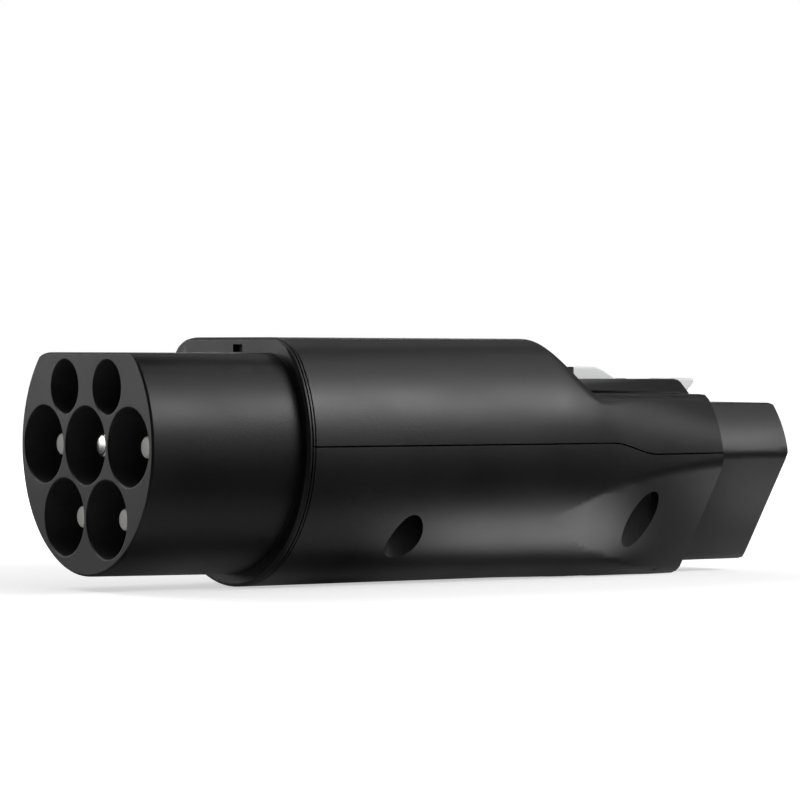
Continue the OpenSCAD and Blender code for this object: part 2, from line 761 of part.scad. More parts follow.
// Bore for a socket, with a narrower mouth in the end face
module socket_seat(p, r, t, back) {
    mouth = r + t * 0.3;
    bar(nose_back - 1, nose_end - back, p, r + t + fit);
    bar(nose_end - back - 1, nose_end + 1, p, mouth);
    turned(p, [[0, nose_end - 0.5], [mouth, nose_end - 0.5], [mouth + 1, nose_end + 0.5],
        [0, nose_end + 0.5]]);
}

module nose_seal() color("#101011") placed() difference() {
    shield(groove_end + fit, shell_end + seal_lip, nose_section, -seal_t);
    shield(groove_end - 1, shell_end + seal_lip + 1, nose_section, -fit);
}

// Turned socket with two crossed slits, a collar and a wire barrel
module socket(p, r, t, back, back_r, bore_r) color("#c7b07a") placed() difference() {
    front = nose_end - back - fit;
    turned(p, [
        [0, socket_barrel_start], [back_r, socket_barrel_start],
        [back_r, nose_back - socket_collar_t], [r + t + 0.8, nose_back - socket_collar_t],
        [r + t + 0.8, nose_back], [r + t, nose_back], [r + t, front], [r + 0.3, front],
        [r, front - 0.3], [r, front - socket_depth], [0, front - socket_depth]
    ]);
    bar(socket_barrel_start - 1, socket_barrel_start + barrel_depth, p, bore_r);
    for (a = [45, 135]) translate([front - socket_depth * 0.6, p[0], p[1]]) rotate([a, 0, 0])
        translate([0, -r - t - 1, -slit_w / 2])
            cube([socket_depth, 2 * (r + t + 1), slit_w]);
}
module power_socket(p)
    socket(p, power_bore_r, socket_wall, socket_set_back, barrel_r, core_r + fit);
module signal_socket(p) socket(p, signal_bore_r, signal_socket_wall, signal_set_back,
    signal_barrel_r, signal_core_r + fit);
module socket_l() power_socket(nose_l);
module socket_n() power_socket(nose_n);
module socket_pe()
    socket(nose_pe, earth_bore_r, socket_wall, socket_set_back, barrel_r, core_r + fit);
module socket_cp() signal_socket(nose_cp);
module socket_pp() signal_socket(nose_pp);

// Plate behind the nose that holds the sockets' collars
module nose_carrier() color("#2b2b2d") placed() difference() {
    shield(nose_carrier_x, nose_back - socket_collar_t, nose_section, nose_carrier_inset);
    for (p = [nose_l, nose_n, nose_pe])
        bar(nose_carrier_x - 1, nose_back, p, barrel_r + loose);
    for (p = [nose_cp, nose_pp])
        bar(nose_carrier_x - 1, nose_back, p, signal_barrel_r + loose);
    for (p = nose_screw_places) bar(nose_carrier_x - 1, nose_back, p, small_screw_r + loose);
}
module nose_carrier_screws() color("#a8a9ab") placed() for (p = nose_screw_places)
    mirror([1, 0, 0]) small_screw(-nose_carrier_x, p);

// Wires. Each route is a smooth curve through a few points, and its bare ends
// go into the barrels of the pin and the socket that it joins.
wire_start = barrel_end + 0.3;
wire_end = socket_barrel_start - 0.3;
function curve_point(p, i, u) =
    let (
        last = len(p) - 1,
        a = p[max(i - 1, 0)], b = p[i], c = p[i + 1], d = p[min(i + 2, last)]
    )
    (2 * b + (c - a) * u + (2 * a - 5 * b + 4 * c - d) * u * u
        + (3 * b - a - 3 * c + d) * u * u * u) / 2;
function curve(p, steps) = [
    for (i = [0 : len(p) - 2], k = [0 : steps - 1]) curve_point(p, i, k / steps),
    p[len(p) - 1]
];
function unit(v) = v / norm2(v);
function circle_ring(c, t, r, sides) =
    let (b = unit(cross([0, 0, 1], t)), n = cross(t, b))
    [for (j = [0 : sides - 1]) c + r * (cos(360 * j / sides) * b + sin(360 * j / sides) * n)];
module tube(path, r, sides) loft([
    for (i = [0 : len(path) - 1])
        let (a = path[max(i - 1, 0)], b = path[min(i + 1, len(path) - 1)])
        circle_ring(path[i], unit(b - a), r, sides)
]);
module wire(from, to, way, r, bare_r, shade) color(shade) placed() {
    path = concat(
        [[wire_start, from[0], from[1]], [wire_start + wire_lead, from[0], from[1]]],
        way,
        [[wire_end - wire_lead, to[0], to[1]], [wire_end, to[0], to[1]]]
    );
    tube(curve(path, 3), r, 12);
    bar(barrel_end - 6, wire_start + 1, from, bare_r);
    bar(wire_end - 1, socket_barrel_start + 6, to, bare_r);
}
wire_lead = 6;
way_l = [[68, -16, 0.5], [82, -15, 0], [96, -14, -1.5], [110, -12.5, -2.5]];
way_n = [[68, 16, 0.5], [82, 15, 0], [96, 14, -1.5], [110, 12.5, -2.5]];
way_pe = [[68, 0, -1], [82, 0, -5], [96, 0, -11], [110, 0, -17]];
way_cp = [[68, 8.5, 12], [82, 7.5, 8], [96, 7, 0], [110, 8.5, -9]];
way_pp = [[68, -8.5, 12], [82, -7.5, 8], [96, -7, 0], [110, -8.5, -9]];
module wire_l() wire(pos_l1, nose_l, way_l, wire_r, core_r, "#4a3020");
module wire_n() wire(pos_n, nose_n, way_n, wire_r, core_r, "#2a4a80");
module wire_pe() wire(pos_pe, nose_pe, way_pe, wire_r, core_r, "#5f8a34");
module wire_cp() wire(pos_cp, nose_cp, way_cp, signal_wire_r, signal_core_r, "#c8c8c4");
module wire_pp() wire(pos_pp, nose_pp, way_pp, signal_wire_r, signal_core_r, "#b06a2a");

// Small board with the coding resistors, hung from two posts under the channel
board_t = 1.6;
board_top = parting_front + 0.2;
board_w = 13;
board_post_r = 1.8;
board_screw_r = 0.9;
board_post_x = [
    channel_front + 1,
    nose_carrier_x - small_head_t - board_post_r - 1
];
board_x = [board_post_x[0] - 2.6, board_post_x[1] + 2.2];
module signal_board() color("#2e6a45") placed() difference() {
    block(board_x, [-board_w / 2, board_w / 2], [board_top - board_t, board_top]);
    for (x = board_post_x) translate([x, 0, board_top - board_t - 1])
        cylinder(r = board_screw_r + loose, h = board_t + 2);
}
module board_resistors() color("#3d3d40") placed() for (s = [-1, 1]) {
    mid = (board_x[0] + board_x[1]) / 2;
    block([mid - 3.2, mid + 3.2], [s * 3.5 - 1.6, s * 3.5 + 1.6],
        [board_top - board_t - 1, board_top - board_t]);
}
module board_screws() color("#a8a9ab") placed() for (x = board_post_x)
    translate([x, 0, board_top - board_t]) {
        cylinder(r = board_screw_r, h = board_t + 4);
        translate([0, 0, -1.1]) cylinder(r = 1.8, h = 1.1);
    }

// Latch lever: thumb pad in front of the pivot, hook behind it
lever_level = hook_top - 0.4;
curve_start = pad_front + pad_len;
curve_end = pivot_x + 1.5;
lever_outline = [
    [pad_front, pad_under], [pad_front, pad_top - 0.4], [pad_front + 0.4, pad_top],
    for (i = [0 : 8])
        [mix(curve_start, curve_end, i / 8), mix(pad_top, lever_level, smooth(i / 8))],
    [shell_end + 0.8, lever_level], [shell_end + 2, hook_top],
    [hook_tip - 0.3, hook_top], [hook_tip, hook_top - 0.3], [hook_tip, hook_top - 1],
    [hook_tip - (hook_top - 1 - tooth_low) * 0.95, tooth_low],
    [shell_end + 2.2, tooth_low], [shell_end + 2.2, rear_floor + 0.1],
    [pivot_x + 2, rear_floor + 0.1], [pivot_x, pivot_z - pivot_boss_r],
    [pivot_x - 2.2, pivot_z - 1.6], [spring_x + 3.2, pad_under]
];
module latch_lever() color("#d3d4d4") placed() difference() {
    union() {
        side_plate(latch_w, lever_outline);
        translate([pivot_x, -latch_w / 2, pivot_z]) rotate([-90, 0, 0])
            cylinder(r = pivot_boss_r, h = latch_w);
    }
    translate([pivot_x, -latch_w, pivot_z]) rotate([-90, 0, 0])
        cylinder(r = pivot_r + fit, h = 2 * latch_w);
}
module pivot_pin() color("#b9babc") placed()
    translate([pivot_x, -channel_w / 2 - pivot_grip + 0.1, pivot_z]) rotate([-90, 0, 0])
        cylinder(r = pivot_r, h = channel_w + 2 * pivot_grip - 0.2);

// Coil spring under the thumb pad
spring_coil_r = 2.1;
spring_wire_r = 0.3;
spring_turns = 5;
module latch_spring() color("#9fa1a4") placed() {
    z0 = channel_floor - spring_cup + spring_wire_r + 0.05;
    z1 = pad_under - spring_wire_r - 0.05;
    steps = 14;
    tube([
        for (i = [0 : spring_turns * steps])
            [spring_x + spring_coil_r * cos(360 * i / steps),
                spring_coil_r * sin(360 * i / steps),
                mix(z0, z1, i / (spring_turns * steps))]
    ], spring_wire_r, 6);
}

plug_block();
flange_gasket();
pin_l1();
pin_l2();
pin_l3();
pin_n();
pin_pe();
pin_cp();
pin_pp();
tip_cap_l1();
tip_cap_l2();
tip_cap_l3();
tip_cap_n();
pin_carrier();
pin_carrier_screws();
upper_shell();
lower_shell();
shell_screws();
nose_block();
nose_seal();
socket_l();
socket_n();
socket_pe();
socket_cp();
socket_pp();
nose_carrier();
nose_carrier_screws();
wire_l();
wire_n();
wire_pe();
wire_cp();
wire_pp();
signal_board();
board_resistors();
board_screws();
latch_lever();
pivot_pin();
latch_spring();
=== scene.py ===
"""Looks of a charging adapter for electric cars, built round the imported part."""
import math

import bmesh
import bpy
import numpy as np
from mathutils import Matrix, Vector


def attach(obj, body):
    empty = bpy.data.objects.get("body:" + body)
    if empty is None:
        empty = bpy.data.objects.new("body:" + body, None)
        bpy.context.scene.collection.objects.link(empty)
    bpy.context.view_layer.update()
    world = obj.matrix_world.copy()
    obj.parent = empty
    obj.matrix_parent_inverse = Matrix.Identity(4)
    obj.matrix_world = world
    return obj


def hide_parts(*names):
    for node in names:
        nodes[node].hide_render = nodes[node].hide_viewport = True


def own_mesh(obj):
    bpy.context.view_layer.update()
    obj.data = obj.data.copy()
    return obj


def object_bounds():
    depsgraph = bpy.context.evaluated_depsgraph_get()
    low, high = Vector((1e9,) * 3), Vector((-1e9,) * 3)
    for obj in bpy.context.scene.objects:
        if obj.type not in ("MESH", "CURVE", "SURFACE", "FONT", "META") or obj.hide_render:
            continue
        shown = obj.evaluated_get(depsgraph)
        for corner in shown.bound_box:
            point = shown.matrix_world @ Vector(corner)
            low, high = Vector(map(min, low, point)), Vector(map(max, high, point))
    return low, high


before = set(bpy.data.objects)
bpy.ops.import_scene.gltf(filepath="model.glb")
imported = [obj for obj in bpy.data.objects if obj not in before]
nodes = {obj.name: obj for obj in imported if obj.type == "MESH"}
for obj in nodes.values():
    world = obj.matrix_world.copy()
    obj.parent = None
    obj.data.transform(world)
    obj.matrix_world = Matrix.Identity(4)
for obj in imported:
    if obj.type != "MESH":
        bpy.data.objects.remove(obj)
cad_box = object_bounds()

# The camera stands far off, a little above the middle of the part, and looks
# along its near side, so that the front face shows as a narrow ellipse.
scene = bpy.context.scene
camera_place = Vector((-0.50839, -0.73035, 0.05111))
camera_yaw, camera_pitch, camera_roll = 0.6023, -0.0117, 0.0034
camera_lens = 176.89
view_line = Vector((
    math.sin(camera_yaw) * math.cos(camera_pitch),
    math.cos(camera_yaw) * math.cos(camera_pitch),
    math.sin(camera_pitch),
))
level_right = Vector((math.cos(camera_yaw), -math.sin(camera_yaw), 0))
level_up = level_right.cross(view_line)
right = math.cos(camera_roll) * level_right + math.sin(camera_roll) * level_up
up = math.cos(camera_roll) * level_up - math.sin(camera_roll) * level_right
camera_data = bpy.data.cameras.new("camera")
camera_data.lens = camera_lens
camera_data.clip_start = 0.05
camera = bpy.data.objects.new("camera", camera_data)
camera.matrix_world = Matrix((
    (right.x, up.x, -view_line.x, camera_place.x),
    (right.y, up.y, -view_line.y, camera_place.y),
    (right.z, up.z, -view_line.z, camera_place.z),
    (0, 0, 0, 1),
))
scene.collection.objects.link(camera)
scene.camera = camera
scene.view_settings.view_transform = "Standard"


# The room is a wide pale floor under an even pale sky. Both look white to the
# camera, while the light that they give stays mild. What glossy faces mirror is
# a studio: a pale backdrop behind the part, and a dim room on the near side.
def new_node(nodes_of, kind, inputs=None, **settings):
    """A node with its settings and the values of the inputs that nothing feeds."""
    node = nodes_of.new(kind)
    for name, value in settings.items():
        setattr(node, name, value)
    for name, value in (inputs or {}).items():
        node.inputs[name].default_value = value
    return node


def link_all(links_of, *pairs):
    """Links each output to the input that stands beside it."""
    for source, target in pairs:
        links_of.new(source, target)


sky_light = 0.14
dim_room, pale_backdrop = 0.05, 0.16
world = bpy.data.worlds.new("room")
world.use_nodes = True
sky = world.node_tree.nodes
sky.clear()
lit_sky = new_node(sky, "ShaderNodeBackground", {
    "Color": (0.96, 0.98, 1, 1), "Strength": sky_light,
})
seen_sky = new_node(sky, "ShaderNodeBackground", {"Color": (1, 1, 1, 1), "Strength": 1})
mirrored_sky = new_node(sky, "ShaderNodeBackground")
gaze = new_node(sky, "ShaderNodeTexCoord")
gaze_parts = new_node(sky, "ShaderNodeSeparateXYZ")
backdrop = new_node(sky, "ShaderNodeMapRange", {
    "From Min": -0.3, "From Max": 0.7, "To Min": dim_room, "To Max": pale_backdrop,
}, interpolation_type="SMOOTHSTEP")
sky_ray = new_node(sky, "ShaderNodeLightPath")
either = new_node(sky, "ShaderNodeMath", operation="MAXIMUM")
mix_mirrored = new_node(sky, "ShaderNodeMixShader")
mix_seen = new_node(sky, "ShaderNodeMixShader")
sky_out = new_node(sky, "ShaderNodeOutputWorld")
link_all(
    world.node_tree.links,
    (gaze.outputs["Generated"], gaze_parts.inputs[0]),
    (gaze_parts.outputs["Y"], backdrop.inputs["Value"]),
    (backdrop.outputs["Result"], mirrored_sky.inputs["Strength"]),
    (sky_ray.outputs["Is Glossy Ray"], mix_mirrored.inputs["Fac"]),
    (lit_sky.outputs[0], mix_mirrored.inputs[1]),
    (mirrored_sky.outputs[0], mix_mirrored.inputs[2]),
    (sky_ray.outputs["Is Camera Ray"], either.inputs[0]),
    (sky_ray.outputs["Is Transmission Ray"], either.inputs[1]),
    (either.outputs[0], mix_seen.inputs["Fac"]),
    (mix_mirrored.outputs[0], mix_seen.inputs[1]),
    (seen_sky.outputs[0], mix_seen.inputs[2]),
    (mix_seen.outputs[0], sky_out.inputs["Surface"]),
)
scene.world = world


# The floor is matt and pale, and a soft glow that only the camera sees makes it
# white away from the part. Glossy faces mirror a studio table in its place, with
# painted light and shade in bands across it and two glowing strips along it, each
# mirrored on both sides: they make the dark band and the lower highlights that
# the part reflects.
def node_tree(name):
    """An empty material, with its nodes and its links."""
    made = bpy.data.materials.new(name)
    made.use_nodes = True
    made.node_tree.nodes.clear()
    return made, made.node_tree.nodes, made.node_tree.links


near_glow, far_glow = 0.53, 1.0
x_span, y_span = (-0.1, 0.15), (0, 0.1)
# Painted light and shade across the mirrored table, by distance from the middle plane: dark
# and pale bands that the part reflects.
table_painted_light_and_shade = (
    (0, 0.25), (0.009, 0.25), (0.013, 0.05), (0.019, 0.05),
    (0.024, 0.7), (0.034, 0.7), (0.05, 0.04), (0.1, 0.03),
)
rear_painted_light_and_shade = ((0, 0.38), (0.02, 0.3), (0.03, 0.14), (0.04, 0.08), (0.055, 0.03))
rear_share = ((0.048, 0), (0.064, 1))
main_strip = (
    ((0.016, 0), (0.023, 1), (0.031, 1), (0.040, 0)),
    ((-0.03, 0), (0.015, 0.7), (0.045, 0.9), (0.064, 0.03), (0.078, 0.03), (0.095, 0.4)),
    2.6,
)
near_strip = (
    ((0, 1), (0.011, 1), (0.016, 0.4), (0.022, 0)),
    (
        (-0.085, 0.05), (-0.063, 0.25), (-0.05, 0.2), (-0.03, 0.05), (0, 0.2), (0.042, 0.2),
        (0.06, 0.35), (0.1, 0.9),
    ),
    0.6,
)
floor_paint, paint, paint_links = node_tree("floor_paint")
matt = new_node(paint, "ShaderNodeBsdfDiffuse", {"Color": (0.8, 0.8, 0.8, 1)})
glow = new_node(paint, "ShaderNodeEmission")
nothing = new_node(paint, "ShaderNodeEmission", {"Strength": 0})
ground = new_node(paint, "ShaderNodeTexCoord")
away = new_node(paint, "ShaderNodeVectorMath", operation="LENGTH")
brighten = new_node(paint, "ShaderNodeMapRange", {
    "From Min": 0.15, "From Max": 0.8, "To Min": near_glow, "To Max": far_glow,
}, interpolation_type="SMOOTHSTEP")
floor_ray = new_node(paint, "ShaderNodeLightPath")
glow_or_none = new_node(paint, "ShaderNodeMixShader")
plain_floor = new_node(paint, "ShaderNodeAddShader")
ground_parts = new_node(paint, "ShaderNodeSeparateXYZ")
either_side = new_node(paint, "ShaderNodeMath", operation="ABSOLUTE")
link_all(
    paint_links,
    (ground.outputs["Object"], away.inputs[0]),
    (away.outputs["Value"], brighten.inputs["Value"]),
    (brighten.outputs["Result"], glow.inputs["Strength"]),
    (floor_ray.outputs["Is Camera Ray"], glow_or_none.inputs["Fac"]),
    (nothing.outputs[0], glow_or_none.inputs[1]),
    (glow.outputs[0], glow_or_none.inputs[2]),
    (matt.outputs[0], plain_floor.inputs[0]),
    (glow_or_none.outputs[0], plain_floor.inputs[1]),
    (ground.outputs["Object"], ground_parts.inputs[0]),
    (ground_parts.outputs["Y"], either_side.inputs[0]),
)


def profile(source, span, stops):
    """A value that eases from stop to stop, each given in metres along a line."""
    low, high = span
    scaled = new_node(paint, "ShaderNodeMapRange", {"From Min": low, "From Max": high})
    ramp = new_node(paint, "ShaderNodeValToRGB")
    ramp.color_ramp.interpolation = "EASE"
    marks = ramp.color_ramp.elements
    while len(marks) < len(stops):
        marks.new(1)
    for mark, (place, value) in zip(marks, stops):
        mark.position = (place - low) / (high - low)
        mark.color = (value, value, value, 1)
    paint_links.new(source, scaled.inputs["Value"])
    paint_links.new(scaled.outputs["Result"], ramp.inputs["Fac"])
    return ramp.outputs["Color"]


table = new_node(paint, "ShaderNodeBsdfDiffuse")
tones = new_node(paint, "ShaderNodeMix", data_type="RGBA")
link_all(
    paint_links,
    (profile(ground_parts.outputs["X"], x_span, rear_share), tones.inputs["Factor"]),
    (profile(either_side.outputs[0], y_span, table_painted_light_and_shade), tones.inputs["A"]),
    (profile(either_side.outputs[0], y_span, rear_painted_light_and_shade), tones.inputs["B"]),
    (tones.outputs["Result"], table.inputs["Color"]),
)
mirrored = table.outputs[0]
for width, length, power in (main_strip, near_strip):
    lit_share = new_node(paint, "ShaderNodeVectorMath", operation="MULTIPLY")
    strip = new_node(paint, "ShaderNodeEmission", {"Strength": power})
    stacked = new_node(paint, "ShaderNodeAddShader")
    link_all(
        paint_links,
        (profile(either_side.outputs[0], y_span, width), lit_share.inputs[0]),
        (profile(ground_parts.outputs["X"], x_span, length), lit_share.inputs[1]),
        (lit_share.outputs[0], strip.inputs["Color"]),
        (mirrored, stacked.inputs[0]),
        (strip.outputs[0], stacked.inputs[1]),
    )
    mirrored = stacked.outputs[0]
table_or_floor = new_node(paint, "ShaderNodeMixShader")
paint_out = new_node(paint, "ShaderNodeOutputMaterial")
link_all(
    paint_links,
    (floor_ray.outputs["Is Glossy Ray"], table_or_floor.inputs["Fac"]),
    (plain_floor.outputs[0], table_or_floor.inputs[1]),
    (mirrored, table_or_floor.inputs[2]),
    (table_or_floor.outputs[0], paint_out.inputs["Surface"]),
)
floor_reach = 4
floor_mesh = bpy.data.meshes.new("floor")
floor_mesh.from_pydata(
    [(x * floor_reach, y * floor_reach, 0) for x, y in ((-1, -1), (1, -1), (1, 1), (-1, 1))],
    [], [(0, 1, 2, 3)],
)
floor_mesh.materials.append(floor_paint)
floor = bpy.data.objects.new("floor", floor_mesh)
scene.collection.objects.link(floor)


# Seven soft lamps. The key lamp stands along the near side and makes the long
# highlight, the front lamp grazes the front face, and weaker ones from above,
# behind and below lift the edges.
def soft_box(name, place, target, width, height, power):
    data = bpy.data.lights.new(name, "AREA")
    data.shape = "RECTANGLE"
    data.size = width
    data.size_y = height
    data.energy = power
    lamp = bpy.data.objects.new(name, data)
    lamp.location = place
    lamp.rotation_euler = (Vector(target) - Vector(place)).to_track_quat("-Z", "Y").to_euler()
    scene.collection.objects.link(lamp)


soft_box("key_light", (0.36, -0.77, 0.50), (0.02, 0, 0.03), 1.04, 0.2, 6.2)
soft_box("front_light", (-0.65, 0.80, 0.22), (-0.08, 0, 0.03), 0.5, 0.4, 1.6)
soft_box("upper_light", (0.55, -0.30, 0.80), (0.02, 0, 0.03), 1.1, 0.35, 1.1)
soft_box("back_light", (0.1, 0.55, 0.85), (0, 0, 0.03), 1.2, 0.3, 0.7)
soft_box("far_light", (0.15, 0.95, 0.22), (0, 0, 0.03), 1.2, 0.2, 2.6)
soft_box("rim_light", (-0.4, 0.5, 0.75), (-0.08, 0, 0.03), 0.7, 0.4, 1.8)
soft_box("low_light", (0.35, -0.85, 0.05), (0.02, 0, 0.0), 1.2, 0.06, 0.3)


# The front block is one moulding of glass-filled nylon: the flange, the round
# boss with its flat top and the seven recesses come out of one tool, with a
# fine matt grain on every outer face.
def grained_plastic(
    name, colour, roughness, grain=0.25, grain_size=0.00028, drift=0.12, shine=0.6
):
    """Moulded plastic: fine grain in relief, slow drift in colour and in gloss."""
    made, made_nodes, made_links = node_tree(name)
    noise_low, noise_high, fine_share = 0.3, 0.7, 0.35
    place = new_node(made_nodes, "ShaderNodeTexCoord")
    fine = new_node(made_nodes, "ShaderNodeTexNoise", {"Scale": 1 / grain_size, "Detail": 3})
    broad = new_node(made_nodes, "ShaderNodeTexNoise", {"Scale": 45, "Detail": 5})
    relief = new_node(made_nodes, "ShaderNodeBump", {
        "Strength": grain, "Distance": grain_size * 0.4,
    })
    gloss = new_node(made_nodes, "ShaderNodeMapRange", {
        "From Min": noise_low, "From Max": noise_high,
        "To Min": roughness - 0.04, "To Max": roughness + 0.05,
    })
    ramp = new_node(made_nodes, "ShaderNodeValToRGB")
    darker, lighter = ramp.color_ramp.elements
    darker.position = noise_low
    lighter.position = noise_high
    darker.color = (*[c * (1 - drift) for c in colour], 1)
    lighter.color = (*[c * (1 + drift) for c in colour], 1)
    blend = new_node(made_nodes, "ShaderNodeMath", {1: fine_share}, operation="MULTIPLY_ADD")
    shader = new_node(made_nodes, "ShaderNodeBsdfPrincipled", {"Specular IOR Level": shine})
    out = new_node(made_nodes, "ShaderNodeOutputMaterial")
    link_all(
        made_links,
        (place.outputs["Object"], fine.inputs["Vector"]),
        (place.outputs["Object"], broad.inputs["Vector"]),
        (fine.outputs["Fac"], relief.inputs["Height"]),
        (broad.outputs["Fac"], gloss.inputs["Value"]),
        (fine.outputs["Fac"], blend.inputs[0]),
        (broad.outputs["Fac"], blend.inputs[2]),
        (blend.outputs[0], ramp.inputs["Fac"]),
        (ramp.outputs["Color"], shader.inputs["Base Color"]),
        (gloss.outputs["Result"], shader.inputs["Roughness"]),
        (relief.outputs["Normal"], shader.inputs["Normal"]),
        (shader.outputs[0], out.inputs["Surface"]),
    )
    return made


def shown(node, mesh, body="adapter"):
    """Puts a mesh in the place of a CAD solid."""
    piece = bpy.data.objects.new(node + "_dressed", mesh)
    scene.collection.objects.link(piece)
    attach(piece, body)
    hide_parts(node)
    return piece


joint_reach = 2e-6
flat_within, bevel_beyond, sharp_beyond = (math.radians(turn) for turn in (0.4, 40, 28))


def dressed(node, finish, edge=0.0, body="adapter"):
    """A copy of a CAD solid with joined faces, smooth curves and rounded edges."""
    mesh = bpy.data.meshes.new(node + "_skin")
    work = bmesh.new()
    work.from_mesh(nodes[node].data)
    bmesh.ops.remove_doubles(work, verts=work.verts, dist=joint_reach)
    bmesh.ops.dissolve_limit(work, angle_limit=flat_within, verts=work.verts, edges=work.edges)
    weights = work.edges.layers.float.new("bevel_weight_edge")
    for line in work.edges:
        line[weights] = float(line.calc_face_angle(0) > bevel_beyond)
    work.to_mesh(mesh)
    work.free()
    mesh.shade_smooth()
    mesh.set_sharp_from_angle(angle=sharp_beyond)
    mesh.materials.clear()
    mesh.materials.append(finish)
    piece = shown(node, mesh, body)
    if edge:
        bevel = piece.modifiers.new("rounded_edges", "BEVEL")
        bevel.width = edge
        bevel.segments = 2
        bevel.limit_method = "WEIGHT"
        bevel.use_clamp_overlap = False
        bevel.harden_normals = True
        bevel.miter_outer = "MITER_ARC"
    return piece


axis_height = 0.03126


def in_mm(places):
    """Places in mm from the front face, the middle plane and the pins' axis."""
    return (np.array(places) - (cad_box[0].x, 0, axis_height)) * 1000


def paint_inside(piece, finish, test):
    """Gives a second material to the faces whose corners all pass a test, in mm: painted light
    in the recesses, painted shade in the wells.
    """
    piece.data.materials.append(finish)
    passed = [test(*spot) for spot in in_mm([point.co for point in piece.data.vertices])]
    for face in piece.data.polygons:
        if all(passed[corner] for corner in face.vertices):
            face.material_index = len(piece.data.materials) - 1


# The long skins of the block, the shell and the nose follow one kind of section,
# the same as in the part's source. These functions give it round a pole, a line
# that lies inside every section, and lay a piece's faces and normals on it.
pole = -6
side_slope = math.radians(33.4)


def skin_radius(section, angle):
    """Distance of the skin from the pole, in the direction of an angle.

    The section is a circle, cut by a level top, two sloping sides and a level
    bottom. It is given as the circle's radius and centre, the distances of the
    three cuts, and the radii of the round edges at the top, side and bottom.
    """
    r, centre, top, side, bottom, top_edge, side_edge, bottom_edge = section
    uy, uz = np.abs(np.cos(angle)), np.sin(angle)
    heading = np.arctan2(uz, uy)
    cz, top, low = centre - pole, top - pole, bottom + pole
    ny, nz = math.cos(side_slope), -math.sin(side_slope)
    my, mz = -nz, ny
    d = side - nz * pole
    tiny, far = 0.001, 200

    def to_circle(y, z, radius):
        b = uy * y + uz * z
        return b + np.sqrt(np.maximum(b * b - y * y - z * z + radius * radius, 0))

    def to_line(y, z, distance):
        facing = y * uy + z * uz
        return np.where(facing > tiny, distance / np.maximum(facing, tiny), far)

    round_part = to_circle(0, cz, r)
    plain = np.minimum(round_part, to_line(0, 1, top))
    plain = np.minimum(plain, np.minimum(to_line(0, -1, low), to_line(ny, nz, d)))

    # The middles of the round edges at the top, the side and the bottom.
    z1 = top - top_edge
    y1 = np.sqrt(np.maximum((r - top_edge) ** 2 - (z1 - cz) ** 2, 0))
    qy, qz = ny * (d - side_edge), nz * (d - side_edge) - cz
    k = my * qy + mz * qz
    slide = np.sqrt(np.maximum(k * k - qy * qy - qz * qz + (r - side_edge) ** 2, 0)) - k
    y2, z2 = qy + my * slide, qz + cz + mz * slide
    z3 = bottom_edge - low
    y3 = (d - bottom_edge - nz * z3) / ny

    # Each round edge holds between the headings of its two ends.
    grow1, grow2 = r / (r - top_edge), r / (r - side_edge)
    on_top = (heading > np.arctan2(cz + (z1 - cz) * grow1, y1 * grow1)) & (
        heading < np.arctan2(top, y1))
    on_side = (heading > np.arctan2(z2 + nz * side_edge, y2 + ny * side_edge)) & (
        heading < np.arctan2(cz + (z2 - cz) * grow2, y2 * grow2))
    on_low = (heading > np.arctan2(-low, y3)) & (
        heading < np.arctan2(z3 + nz * bottom_edge, y3 + ny * bottom_edge))
    out = np.where(on_low, np.minimum(round_part, to_circle(y3, z3, bottom_edge)), plain)
    out = np.where(on_side, to_circle(y2, z2, side_edge), out)
    return np.where(on_top, to_circle(y1, z1, top_edge), out)


def skin_place(section_at, x, angle):
    """The skin's places in mm at each x, in the direction of each angle."""
    r = skin_radius(section_at(x), angle)
    return np.stack([x, r * np.cos(angle), pole + r * np.sin(angle)], axis=1)


def round_pole(mesh):
    """Every point's place in mm, its x, and its angle round the pole."""
    spots = in_mm([point.co for point in mesh.vertices])
    return spots, spots[:, 0], np.arctan2(spots[:, 2] - pole, spots[:, 1])


def skin_facts(mesh, section_at, step=0.01):
    """For every point: its place, the skin's place and true normal there, and the gap."""
    spots, x, angle = round_pole(mesh)
    on_skin = skin_place(section_at, x, angle)
    turn = step / 10
    across = skin_place(section_at, x, angle + turn) - skin_place(section_at, x, angle - turn)
    along = skin_place(section_at, x + step, angle) - skin_place(section_at, x - step, angle)
    true = np.cross(along, across)
    true /= np.linalg.norm(true, axis=1)[:, None]
    true *= np.sign(np.sum(true * (spots - (0, 0, pole)) * (0, 1, 1), axis=1))[:, None]
    return spots, on_skin, true, np.linalg.norm(spots - on_skin, axis=1)


